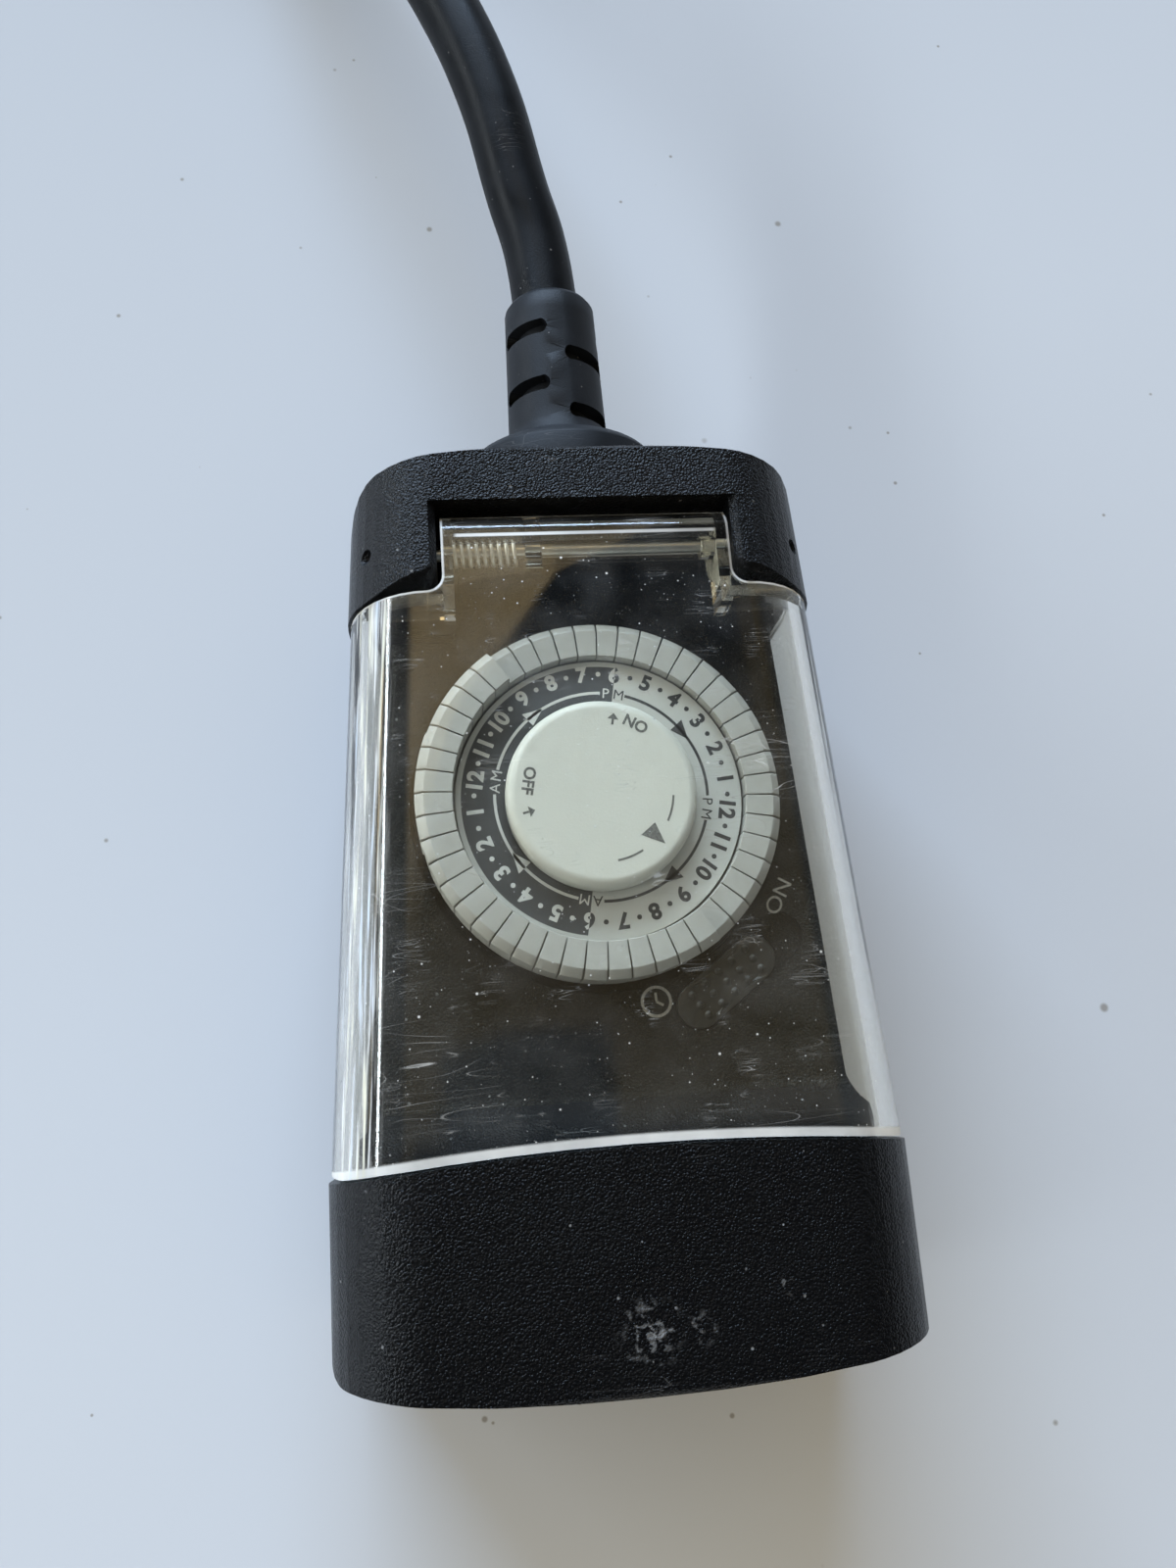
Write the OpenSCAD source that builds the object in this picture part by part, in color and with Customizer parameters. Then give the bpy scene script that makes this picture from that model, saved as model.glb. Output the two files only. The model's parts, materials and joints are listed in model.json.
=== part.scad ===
// Outdoor plug-in timer switch: a two-outlet box on a short grounded cord,
// with a 24-hour tripper dial under a clear sprung cover.
// Millimetres. The origin is under the dial's axis, on the flat back face.
// +X is to the right, +Y towards the cord, +Z out of the dial's face.

/* [Body] */
// Width of the body at the cord end
top_w = 59; // [54:0.5:66]
// Width of the body at the outlet end
bottom_w = 68.8; // [66:0.2:78]
// Depth of the body, from the back to the front
body_d = 46; // [44:0.5:54]
// Distance from the dial's axis to the cord end
top_y = 44.5; // [43:0.5:52]
// Distance from the dial's axis to the outlet end
bottom_y = 66.4; // [65:0.2:74]
// Distance below the dial's axis at which the sides become parallel
taper_y = 41; // [38:0.5:46]
// Height of the joint between the two shells
part_z = 21; // [20:0.25:23]
// Wall of the two shells
wall = 2.2; // [1.8:0.1:2.6]
// Sideways size of the front's rounded corners
corner_w = 11; // [9:0.5:12]
// Depth of the front's rounded corners
corner_h = 14; // [12:0.5:15]
// Radius of the back's corners
back_r = 4; // [3:0.25:6]
// How far the cord end bulges out in the middle
top_bulge = 2.7; // [1.5:0.1:3]
// How far the outlet end bulges out in the middle
bottom_bulge = 2.9; // [1.5:0.1:3.2]
// Radius of the corners at the cord end, seen from the front
plan_r = 4.5; // [3:0.25:6]
// Radius of the corners at the outlet end, seen from the front
low_plan_r = 2.5; // [1.5:0.25:3]
// Radius on the edges of the two ends, seen from the side
end_r = 1.8; // [1:0.1:3]

/* [Deck] */
// Depth of the deck under the front
deck_drop = 11.5; // [11:0.25:13]
// Distance of the deck's sides from the sides of the body
deck_inset = 5.6; // [5:0.1:6.4]
// Thickness of the deck
deck_t = 2; // [1.6:0.1:2.4]
// Clearance round the dial in its well
well_gap = 1; // [0.6:0.1:1.4]
// Depth of the well under the deck
well_depth = 6.9; // [6.9:0.1:7.4]
// Wall and floor of the well
well_wall = 1.6; // [1.2:0.1:1.8]
// Height of the ledges beside the cover's tab
ledge_h = 3; // [2:0.25:3.5]
// Radius of the hollow where the deck runs up to the outlet end
ramp_r = 7.5; // [6:0.25:8]

/* [Cover] */
// Thickness of the clear cover
cover_t = 2; // [1.6:0.1:2.2]
// How far the cover lies inside the body's surface
cover_sink = 0.4; // [0.2:0.1:0.6]
// Gap between the cover and the shells
cover_gap = 0.3; // [0.25:0.05:0.5]
// Distance from the dial's axis to the cover's lower edge
cover_low_y = 40.7; // [39:0.1:43]
// Drop of the lower edge towards the sides
cover_bow = 1.15; // [0.75:0.05:1.6]
// Distance from the hinge pin to the cover's shoulders
shoulder = 6.5; // [6.4:0.05:6.9]
// Depth of the lip along the cover's shoulders
lip_h = 5; // [4:0.25:6]
// Thickness of the lip and of the tab's ends
lip_t = 1.4; // [1:0.1:1.8]
// Width of the cover's hinge tab
tab_w = 36; // [34:0.2:37]
// Gap at each end of the tab
tab_gap = 0.6; // [0.4:0.1:0.9]

/* [Hinge] */
// Radius of the hinge pin
pin_r = 0.75; // [0.6:0.05:0.9]
// Distance from the dial's axis to the hinge pin
pin_y = 31.8; // [31:0.1:33]
// Radius of the cover's hinge roll
roll_r = 4.6; // [4.4:0.05:4.8]
// Radius of the shell's ears round the pin
ear_r = 6.2; // [6:0.05:6.3]
// Width of the spring's pocket in the tab
pocket_w = 9; // [8:0.2:12]
// Wire of the cover's spring
spring_wire = 0.55; // [0.4:0.05:0.7]
// Radius of the spring's coil, to the middle of the wire
spring_r = 1.7; // [1.6:0.05:1.9]
// Turns of the spring
spring_turns = 8; // [6:1:10]

/* [Dial] */
// Outer radius of the ring of trippers
tripper_r = 22.5; // [21.5:0.25:23]
// Radial width of a tripper
tripper_w = 4.5; // [4:0.1:4.8]
// Number of trippers, one for each half hour
tripper_n = 48; // [48]
// Gap between two trippers
tripper_gap = 0.2; // [0.15:0.05:0.3]
// Travel of a tripper
tripper_travel = 2; // [1.4:0.1:2.2]
// Height of the printed plate above the deck
plate_rise = 3.9; // [3.6:0.1:4.2]
// Height of a lowered tripper above the printed plate
tripper_rise = 1.5; // [1.2:0.1:1.8]
// Clearance between turning and sliding pieces
running = 0.25; // [0.2:0.05:0.35]
// Radius of the fixed cap in the middle
cap_r = 11.7; // [10.5:0.1:12.5]
// Height of the cap's top above the printed plate
cap_rise = 3.4; // [2.8:0.1:3.8]
// Radius of the fixed post that the dial turns on
post_r = 2.5; // [2:0.1:3]
// Radial clearance of the dial on its post
shaft_fit = 0.05; // [0.03:0.01:0.08]

/* [Gears] */
// Module of the gears
gear_m = 0.35; // [0.33:0.005:0.36]
// Teeth of the dial's gear
dial_teeth = 90; // [90]
// Teeth of the idler's wheel
wheel_teeth = 45; // [45]
// Teeth of both pinions
pinion_teeth = 15; // [15]
// Radius of the gear train's axles
axle_r = 0.8; // [0.7:0.05:1]
// Thickness of the gears
gear_t = 1.4; // [1.2:0.1:1.6]

/* [Override switch] */
// Distance from the ring of trippers to the slider's middle
slider_off = 4.6; // [4.6:0.1:5.3]
// Direction of the slider from the dial's axis
slider_angle = -53.5; // [-58:0.5:-50]
// Length of the slider's recess
recess_l = 19.5; // [18.5:0.1:20.5]
// Width of the slider's recess
recess_w = 6; // [5.4:0.1:6]
// Depth of the slider's recess
recess_h = 0.9; // [0.6:0.05:1]
// Length of the slider's knob
knob_l = 14.4; // [13.6:0.1:14.8]
// Travel of the slider
slider_travel = 4.4; // [3.8:0.1:4.4]

/* [Outlets] */
// Distance between the two outlets
outlet_pitch = 31; // [29:0.5:33]
// Radius of an outlet's ground hole
ground_r = 2.55; // [2.5:0.05:2.8]
// Distance between an outlet's two blade slots
blade_pitch = 12.7; // [12.7]
// Distance from the blade slots to the ground hole
ground_drop = 11.9; // [11.9]
// Depth of the outlets' contact chambers
outlet_depth = 17.5; // [16.5:0.5:18]

/* [Cord and plug] */
// Radius of the cord
cord_r = 5; // [4:0.1:5.4]
// Radius of the strain relief at the body
boot_r = 7.3; // [6.8:0.1:7.6]
// Length of the strain relief
boot_l = 39.2; // [39.2]
// Radius of the strain relief's collar
collar_r = 12.8; // [11:0.1:13.5]
// Length of the collar, up to where it narrows
collar_l = 7.9; // [4:0.1:9]
// Width of the plug
plug_w = 27; // [25:0.5:30]
// Length of the plug's body
plug_l = 34; // [30:0.5:38]
// Radius of the plug's ground pin
plug_pin_r = 2.4; // [2.4]

/* [Hidden] */
$fn = 96;

black = "#1c1d20";
small = 0.01;
far = 200;
lift = 0.3;

// Heights, worked out from the front down
deck_z = body_d - deck_drop;
plate_z = deck_z + plate_rise;
well_floor = deck_z - well_depth;
well_under = well_floor - well_wall;
well_r = tripper_r + well_gap;
flange_t = 0.8;
flange_z = part_z + flange_t;
cover_z = flange_z + cover_gap;
pin_z = body_d - 4.8;
movement_t = 1.5;
movement_low_y = 34;
movement_l = 61.5;
movement_z = well_under - 2.5;
movement_low = movement_z - movement_t;

// Half the body's width at a distance y from the dial's axis
function half_w(y) = y < -taper_y ? bottom_w / 2
    : bottom_w / 2 - (bottom_w - top_w) / 2 * (y + taper_y) / (top_y + taper_y);

// The body's section at right angles to its length, drawn in by i
function section(w, i) = concat(
    [for (a = [0:10:90]) [w - corner_w + (corner_w - i) * cos(a), body_d - corner_h + (corner_h - i) * sin(a)]],
    [for (a = [90:10:180]) [corner_w - w + (corner_w - i) * cos(a), body_d - corner_h + (corner_h - i) * sin(a)]],
    [for (a = [180:15:270]) [back_r - w + (back_r - i) * cos(a), back_r + (back_r - i) * sin(a)]],
    [for (a = [270:15:360]) [w - back_r + (back_r - i) * cos(a), back_r + (back_r - i) * sin(a)]]);

// The body's outline seen from the front, drawn in by i
function top_edge(x) = top_y - top_bulge * pow(2 * x / top_w, 2);
function low_edge(x) = bottom_bulge * pow(2 * x / bottom_w, 2) - bottom_y;
function outline(i) = let (w = half_w(top_y) - i, b = bottom_w / 2 - i,
                           r = max(plan_r - i, 1), q = max(low_plan_r - i, 1),
                           top = top_edge(w - r) - i - r, low = low_edge(b - q) + i + q) concat(
    [for (s = [-4:4]) let (x = s / 4 * (w - r)) [-x, top_edge(x) - i]],
    [for (a = [15:15:75]) [r - w - r * sin(a), top + r * cos(a)]],
    [[-w - 1, top - 3], [-b - 2, low + 3]],
    [for (a = [15:15:75]) [q - b - q * cos(a), low - q * sin(a)]],
    [for (s = [-4:4]) let (x = s / 4 * (b - q)) [x, low_edge(x) + i]],
    [for (a = [15:15:75]) [b - q + q * sin(a), low - q * cos(a)]],
    [[b + 2, low + 3], [w + 1, top - 3]],
    [for (a = [15:15:75]) [w - r + r * cos(a), top + r * sin(a)]]);

// A rounded rectangle from circles and squares, so that its arcs stay true
module rounded(w, h, r) {
    square([w - 2 * r, h], center = true);
    square([w, h - 2 * r], center = true);
    for (x = [-1, 1], y = [-1, 1]) translate([x * (w / 2 - r), y * (h / 2 - r)]) circle(r);
}

// A slot with round ends
module stadium(l, w) {
    square([l - w, w], center = true);
    for (x = [-1, 1]) translate([x * (l - w) / 2, 0]) circle(w / 2);
}

// The body's full form, drawn in by i on every side
module envelope(i) {
    intersection() {
        hull() for (y = [-bottom_y - 1, -taper_y, top_y + 1])
            translate([0, y, 0]) rotate([90, 0, 0]) linear_extrude(small) polygon(section(half_w(y), i));
        translate([0, 0, -lift]) linear_extrude(body_d + 2 * lift) polygon(outline(i));
        translate([0, (top_y - bottom_y) / 2, body_d / 2]) rotate([90, 0, 90])
            linear_extrude(far, center = true)
                rounded(top_y + bottom_y - 2 * (i - lift), body_d - 2 * (i - lift), end_r + lift);
    }
}

// Everything above (up = 1) or below (up = -1) a height
module side_of(z, up) {
    translate([-far / 2, -far / 2, up > 0 ? z : z - far]) cube(far);
}

// The part of the front that the cover takes, seen from the front and made larger by g
module cover_area(g) {
    low = cover_low_y + g;
    polygon(concat([for (s = [-6:6]) let (x = s * bottom_w / 10) [x, -low - cover_bow * pow(x / 26, 2)]],
                   [[bottom_w * 0.6, pin_y - shoulder + g], [-bottom_w * 0.6, pin_y - shoulder + g]]));
}

// A bar along X round the hinge pin's axis
module along_pin(x0, x1, r) {
    translate([x0, pin_y, pin_z]) rotate([0, 90, 0]) cylinder(r = r, h = x1 - x0);
}

// ---------- Housing ----------

// Where the deck block and the hollows end
block_low = cover_low_y + wall + 2;
notch_w = tab_w + 2 * tab_gap;
bevel = 0.9;
notch_y = pin_y + roll_r + 0.7;
ear_y = pin_y - ear_r;
pin_hole_r = 1;
pin_recess = 3.4;
// The pin ends a little inside the cap's rounded sides
pin_reach = half_w(pin_y) - corner_w - pin_recess
    + corner_w * sqrt(1 - pow((pin_z - body_d + corner_h) / corner_h, 2));
ramp_y = ramp_r - cover_low_y;
function block_side(y) = half_w(y) - deck_inset;
block_x = block_side(-far);
floor_hole_r = gear_m * (dial_teeth / 2 + 1) + 1;

// Screws through the back into the front shell, and from the movement into the deck
screw_r = 1.5;
screw_fit = 0.2;
head_r = 2.8;
head_h = 1.8;
head_depth = 4;
boss_r = 3.6;
housing_screws_at = [[-23.5, 38.2], [23.5, 38.2], [-27.5, -42.4], [27.5, -42.4]];
screw_grip = 9;
post_r2 = 2.6;
movement_screws_at = [[-20.6, 24.6], [20.6, 24.6], [-21.5, -31], [21.5, -31]];
movement_screw_r = 0.9;
movement_screw_grip = 6;

// The dial's gear train
pinion_reach = gear_m * (dial_teeth + pinion_teeth) / 2;
motor_reach = gear_m * (wheel_teeth + pinion_teeth) / 2;
idler_dir = 90;
motor_dir = 205;
idler_at = pinion_reach * [cos(idler_dir), sin(idler_dir)];
pinion_at = idler_at + motor_reach * [cos(motor_dir), sin(motor_dir)];
tooth_gap = 0.08;
axle_fit = 0.05;
wheel_z = movement_z + 0.4;
dial_gear_z = wheel_z + gear_t + 0.9;
idler_top = dial_gear_z + gear_t + 0.2;

// The tripper ring, standing with 6 pm at this angle from +X
dial_angle = 80;
tripper_pitch = 360 / tripper_n;
tripper_in = tripper_r - tripper_w;
block_h = 6.4;
tripper_top = plate_z + tripper_rise;
slot_t = 2;
slot_top = tripper_top - block_h - 0.2;
slot_z = slot_top - slot_t;
foot_at = tripper_in + 1.9;
foot_l = 2;
foot_w = 1.3;
foot_drop = 1.4;
drum_r = tripper_in - running;

// The switch under the pointer
lever_angle = -44;
nose_at = foot_at;
nose_top = slot_z - foot_drop - 0.3;
pivot_at = nose_at + 9.6;
pivot_ear = 2.4;
lever_t = 1.3;
lever_w = 4;
lever_z = movement_z + 0.8;
lever_pin_r = 0.5;
plunger_at = nose_at + 6.1;
plunger_r = 1.2;
switch_l = 19.8;
switch_w = 6.4;
switch_h = 10.2;

// The override slider
slider_at = tripper_r + slider_off;
knob_fit = 0.25;
foot_plate_l = 11;
stem_l = 6;
stem_w = 2;
foot_plate_t = 1.3;
foot_plate_z = deck_z - deck_t - 0.2 - foot_plate_t;
slider_foot_w = 1.5;

// The outlets
block_w = bottom_w - 10.8;
block_hh = body_d - 16;
outlet_mid = part_z + 2;
outlet_inset = 0.4;
outlet_face = low_edge(block_w / 2) + outlet_inset;
block_back = outlet_face + outlet_depth;
slot_w = 2.1;
hot_h = 6.6;
neutral_h = 8.2;
slots_z = outlet_mid + 5;
ground_bore_l = 10;
leaf_t = 0.6;
leaf_gap = 1.4;

// The raised block that carries the dial, drawn in by i
module deck_block(i, z0, z1) {
    top = notch_y + wall - i;
    half = [[block_x - i, i - block_low], [block_x - i, -taper_y], [block_side(top) - i, top]];
    translate([0, 0, z0]) linear_extrude(z1 - z0)
        polygon(concat(half, [for (k = [2:-1:0]) [-half[k][0], half[k][1]]]));
}

// The hollow run-up from the deck to the outlet end, which also widens to the body's sides
module ramp() {
    // The curves start a little inside the block, so that no edge only touches another
    sunk = 0.15;
    side = block_side(ramp_y) + ramp_r - sunk;
    intersection() {
        translate([0, ramp_y + 1, 0]) rotate([90, 0, 0]) linear_extrude(block_low + ramp_y + 2)
            polygon(section(half_w(ramp_y), cover_sink + cover_t + cover_gap));
        translate([-far / 2, 0, 0]) rotate([90, 0, 90]) linear_extrude(far) difference() {
            translate([-block_low, part_z]) square([block_low + ramp_y, far]);
            translate([ramp_y, deck_z + ramp_r - sunk]) circle(ramp_r);
            translate([ramp_y - ramp_r, deck_z + ramp_r - sunk]) square(far);
        }
        linear_extrude(far) difference() {
            translate([-far / 2, -block_low]) square([far, block_low + ramp_y]);
            for (s = [0, 1]) mirror([s, 0]) translate([side, ramp_y]) {
                circle(ramp_r);
                translate([0, -ramp_r]) square(far);
            }
        }
    }
}

// An ear round the hinge pin, with a rounded inner edge, along +X from the notch
module ear() {
    edge = 2;
    rotate([90, 0, 90]) rotate_extrude() {
        square([ear_r - edge, far / 8]);
        translate([0, edge]) square([ear_r, far / 8 - edge]);
        translate([ear_r - edge, edge]) circle(edge);
    }
}

module front_outside() {
    difference() {
        intersection() {
            envelope(0);
            side_of(part_z, 1);
        }
        translate([0, 0, flange_z]) linear_extrude(far) cover_area(cover_gap);
        // Notch for the hinge tab, its upper edges bevelled
        translate([0, notch_y, 0]) rotate([90, 0, 0]) linear_extrude(notch_y - ear_y + 1) polygon(concat(
            [for (s = [-1, 1]) [s * notch_w / 2, deck_z]],
            [for (s = [1, -1], k = [0, 1]) let (up = s > 0 ? k : 1 - k)
                [s * (notch_w / 2 + up * (bevel + 1)), body_d - bevel + up * (bevel + 1)]]));
        // Ears turned round the pin, so that the cover's shoulders clear them
        difference() {
            translate([-far / 2, ear_y - 2, pin_z]) cube([far, pin_y - ear_y + 2, far]);
            translate([notch_w / 2, pin_y, pin_z]) ear();
            mirror([1, 0, 0]) translate([notch_w / 2, pin_y, pin_z]) ear();
        }
    }
}

// The hollow inside both shells, apart from the deck
module hollow() {
    intersection() {
        envelope(wall);
        union() {
            translate([-far / 2, notch_y + wall, 0]) cube(far);
            translate([-far / 2, -far - block_low - 0.2, 0]) cube(far);
            for (s = [0, 1]) mirror([s, 0, 0])
                translate([notch_w / 2 + wall, pin_y + pin_r + 1.5, 0]) cube(far);
        }
    }
}

// The cup that the dial turns in
module well_cup() {
    difference() {
        translate([0, 0, well_under]) cylinder(r = well_r + well_wall, h = deck_z - well_under - deck_t / 2);
        translate([0, 0, well_under - 1]) cylinder(r = floor_hole_r, h = well_wall + 2);
        translate([idler_at[0], idler_at[1], well_under - 1])
            cylinder(r = gear_m * (pinion_teeth / 2 + 1) + 0.6, h = well_wall + 2);
        rotate(lever_angle) translate([floor_hole_r - 1, -lever_w / 2, well_under - 1])
            cube([nose_at + 2 - floor_hole_r + 1, lever_w, well_wall + 2]);
    }
}

// Ledges of the deck beside the cover's tab
module ledges() {
    x0 = tab_w / 2 - 1.9;
    difference() {
        for (s = [-1, 1]) intersection() {
            translate([s * (x0 + 10), ear_y + 6.8, deck_z - 1]) linear_extrude(ledge_h + 1) rounded(20, 20, 2);
            deck_block(0, 0, far);
        }
        along_pin(-notch_w / 2, notch_w / 2, roll_r + cover_gap);
    }
}

module front_housing() {
    color(black) difference() {
        union() {
            difference() {
                union() {
                    difference() {
                        front_outside();
                        hollow();
                    }
                    deck_block(0, part_z, deck_z);
                    ramp();
                }
                deck_block(wall, part_z - 1, deck_z - deck_t);
                // Way for the bars between the deck and the outlets
                translate([-block_w / 2 + 6, -block_low - 2, part_z - 1]) cube([block_w - 12, wall + 6, 9]);
            }
            ledges();
            well_cup();
            for (p = movement_screws_at) translate([p[0], p[1], movement_z])
                cylinder(r = post_r2, h = deck_z - deck_t / 2 - movement_z);
            for (p = housing_screws_at) if (p[1] > 0) translate([p[0], p[1], part_z])
                cylinder(r = boss_r, h = deck_z - part_z);
        }
        translate([0, 0, well_floor]) cylinder(r = well_r, h = far);
        along_pin(-far / 2, far / 2, pin_r + 0.02);
        for (s = [0, 1]) mirror([s, 0, 0]) along_pin(pin_reach, far / 2, pin_hole_r);
        for (p = housing_screws_at) translate([p[0], p[1], part_z - 1]) cylinder(r = screw_r, h = screw_grip + 2);
        for (p = movement_screws_at) translate([p[0], p[1], movement_z - 1])
            cylinder(r = movement_screw_r, h = movement_screw_grip + 1);
        // Recess and slot of the override slider
        in_slider() {
            translate([0, 0, deck_z - recess_h]) linear_extrude(far) stadium(recess_l, recess_w);
            translate([0, 0, deck_z - deck_t - 1]) linear_extrude(far)
                square([stem_l + slider_travel + 0.8, stem_w + 0.4], center = true);
        }
        outlet_window();
        boot_hole();
    }
}

module rear_housing() {
    color(black) difference() {
        union() {
            difference() {
                intersection() {
                    envelope(0);
                    side_of(part_z, -1);
                }
                intersection() {
                    envelope(wall);
                    side_of(wall, 1);
                }
            }
            for (p = housing_screws_at) translate([p[0], p[1], wall / 2]) cylinder(r = boss_r, h = part_z - wall / 2);
        }
        for (p = housing_screws_at) translate([p[0], p[1], -1]) {
            cylinder(r = screw_r + screw_fit, h = far);
            cylinder(r = head_r + 0.3, h = head_depth + 1);
        }
        outlet_window();
        boot_hole();
    }
}

module housing_screws() {
    color("silver") for (p = housing_screws_at) translate([p[0], p[1], head_depth - head_h]) difference() {
        union() {
            cylinder(r = head_r, h = head_h);
            cylinder(r = screw_r, h = part_z + screw_grip - head_depth + head_h);
        }
        for (a = [0, 90]) rotate(a) translate([-head_r * 0.6, -0.35, -1]) cube([head_r * 1.2, 0.7, 2]);
    }
}

// ---------- Cover ----------

roll_in = roll_r - 1.4;
boss_x = pocket_w + lip_t - tab_w / 2;
boss_t = 2;

module cover() {
    low_r = pin_y + cover_low_y + cover_bow * pow((bottom_w / 2 - cover_t) / 26, 2);
    color([0.85, 0.86, 0.82, 0.35]) difference() {
        union() {
            difference() {
                intersection() {
                    envelope(cover_sink);
                    translate([0, 0, cover_z]) linear_extrude(far) cover_area(0);
                    along_pin(-far / 2, far / 2, low_r);
                }
                envelope(cover_sink + cover_t);
            }
            tab();
            lips();
        }
        along_pin(-far / 2, far / 2, pin_r + shaft_fit);
    }
}

// The hinge tab: a sheet that rolls over the pin, closed at both ends
module tab() {
    x0 = -tab_w / 2;
    top = body_d - cover_sink;
    y0 = pin_y - shoulder - cover_t;
    difference() {
        union() {
            translate([x0, y0, top - cover_t]) cube([tab_w, pin_y - y0, cover_t]);
            difference() {
                along_pin(x0, -x0, roll_r);
                along_pin(x0 - 1, 1 - x0, roll_in);
                translate([x0 - 1, pin_y - 2 * roll_r, pin_z - 2 * roll_r]) cube([tab_w + 2, 2 * roll_r, 4 * roll_r]);
            }
            for (x = [x0, -x0 - lip_t]) {
                along_pin(x, x + lip_t, roll_r);
                translate([x, y0, top - lip_h - cover_t]) cube([lip_t, pin_y - y0, lip_h + cover_t]);
            }
            along_pin(boss_x, boss_x + boss_t, roll_in + 0.2);
            along_pin(-x0 - lip_t - 1.6, -x0 - lip_t / 2, pin_r + 0.9);
            translate([boss_x, pin_y - shoulder / 2, pin_z]) cube([boss_t, shoulder / 2, top - pin_z]);
        }
        translate([x0 - 1, y0 - 1, top]) cube([tab_w + 2, far, far]);
    }
    // Hollow corners between the tab and the shoulders
    for (s = [0, 1]) mirror([s, 0, 0]) difference() {
        translate([tab_w / 2 - small, pin_y - shoulder - small, top - cover_t]) cube([2, 2, cover_t]);
        translate([tab_w / 2 + 2, pin_y - shoulder + 2, 0]) cylinder(r = 2, h = far);
    }
}

// The lip under the cover's shoulders
module lips() {
    top = body_d - cover_sink - cover_t;
    intersection() {
        envelope(cover_sink + cover_t / 2);
        for (s = [0, 1]) mirror([s, 0, 0])
            translate([tab_w / 2 - lip_t, pin_y - shoulder - lip_t, top - lip_h]) cube([far, lip_t, lip_h + cover_t / 2]);
    }
}

module hinge_pin() {
    color("silver") along_pin(-pin_reach - 0.1, pin_reach + 0.1, pin_r);
}

// A round wire of n sides, swept along a list of points. The direction up stays beside the wire
function unit(v) = v / norm(v);
function heading(p, k) = unit(p[min(k + 1, len(p) - 1)] - p[max(k - 1, 0)]);
module wire(p, r, n, up, first = [0, 0, 0], last = [0, 0, 0]) {
    rings = [for (k = [0:len(p) - 1])
        let (t = k == 0 && norm(first) > 0 ? first : k == len(p) - 1 && norm(last) > 0 ? last : heading(p, k),
             u = unit(cross(up, t)), v = cross(t, u))
        [for (j = [0:n - 1]) p[k] + r * (cos(360 * j / n) * u + sin(360 * j / n) * v)]];
    polyhedron([for (ring = rings, q = ring) q], concat(
        [[for (j = [0:n - 1]) j]],
        [for (k = [0:len(p) - 2], j = [0:n - 1]) let (q = (j + 1) % n)
            each [[k * n + j, (k + 1) * n + j, (k + 1) * n + q], [k * n + j, (k + 1) * n + q, k * n + q]]],
        [[for (j = [n - 1:-1:0]) (len(p) - 1) * n + j]]));
}

module cover_spring() {
    steps = 14;
    x0 = -tab_w / 2 + lip_t + spring_wire;
    pitch = (pocket_w - 2 * spring_wire - 0.6) / spring_turns;
    turn = spring_turns * steps;
    coil = [for (k = [0:turn]) let (a = 360 * k / steps - 90)
        [x0 + pitch * k / steps, pin_y + spring_r * cos(a), pin_z + spring_r * sin(a)]];
    leg = [coil[0] + [0, -2.2, 0], coil[0] + [0, -1.1, 0]];
    color("silver") wire(concat(leg, coil), spring_wire / 2, 6, [1, 0, 0]);
}

// ---------- Dial ----------

// A ring with a plain section
module ring(r0, r1, z0, z1) {
    translate([0, 0, z0]) difference() {
        cylinder(r = r1, h = z1 - z0);
        translate([0, 0, -1]) cylinder(r = r0, h = z1 - z0 + 2);
    }
}

module dial_carrier() {
    plate_under = plate_z - 1;
    color("gainsboro") difference() {
        union() {
            ring(drum_r - 1.6, drum_r, slot_z, plate_under);
            ring(post_r + shaft_fit, drum_r, slot_z, slot_z + 1.4);
            ring(drum_r - 1.6, tripper_r - 0.4, slot_z, slot_top);
            ring(post_r + shaft_fit, post_r + 2.5, dial_gear_z + gear_t, plate_under);
        }
        for (k = [0:tripper_n - 1]) rotate(dial_angle + (k + 0.5) * tripper_pitch)
            translate([foot_at - foot_l / 2 - 0.15, -foot_w / 2 - 0.15, slot_z - 1])
                cube([foot_l + 0.3, foot_w + 0.3, slot_t + 2]);
    }
}

module dial_plate() {
    color("white") ring(post_r + 2.7, drum_r, plate_z - 1, plate_z);
}

// One gear's outline. The flanks are straight between three involute points
function inv(r, base) = r <= base ? 0 : let (a = acos(base / r)) tan(a) * 180 / PI - a;
module gear(teeth, z0, z1) {
    pitch_r = gear_m * teeth / 2;
    base = pitch_r * cos(20);
    root = pitch_r - 1.2 * gear_m;
    radii = [root, pitch_r, pitch_r + 0.9 * gear_m];
    half = [for (r = radii) 90 / teeth - tooth_gap / pitch_r * 90 / PI + inv(pitch_r, base) - inv(r, base)];
    translate([0, 0, z0]) linear_extrude(z1 - z0) polygon([for (k = [0:teeth - 1], j = [0:5])
        let (n = j < 3 ? j : 5 - j, a = 360 * k / teeth + (j < 3 ? -half[n] : half[n]))
        radii[n] * [cos(a), sin(a)]]);
}

module dial_gear() {
    color("white") difference() {
        rotate(idler_dir + 180 / dial_teeth) gear(dial_teeth, dial_gear_z, dial_gear_z + gear_t);
        translate([0, 0, dial_gear_z - 1]) cylinder(r = post_r + shaft_fit, h = gear_t + 2);
        for (a = [0:60:300]) rotate(a) translate([gear_m * dial_teeth / 4, 0, dial_gear_z - 1])
            cylinder(r = 2.6, h = gear_t + 2);
    }
}

module dial_post() {
    color("white") union() {
        translate([0, 0, movement_low]) cylinder(r = post_r, h = plate_z + cap_rise - 1.2 - movement_low);
        translate([0, 0, movement_z]) cylinder(r = post_r + 1.2, h = dial_gear_z - 0.2 - movement_z);
    }
}

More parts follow.
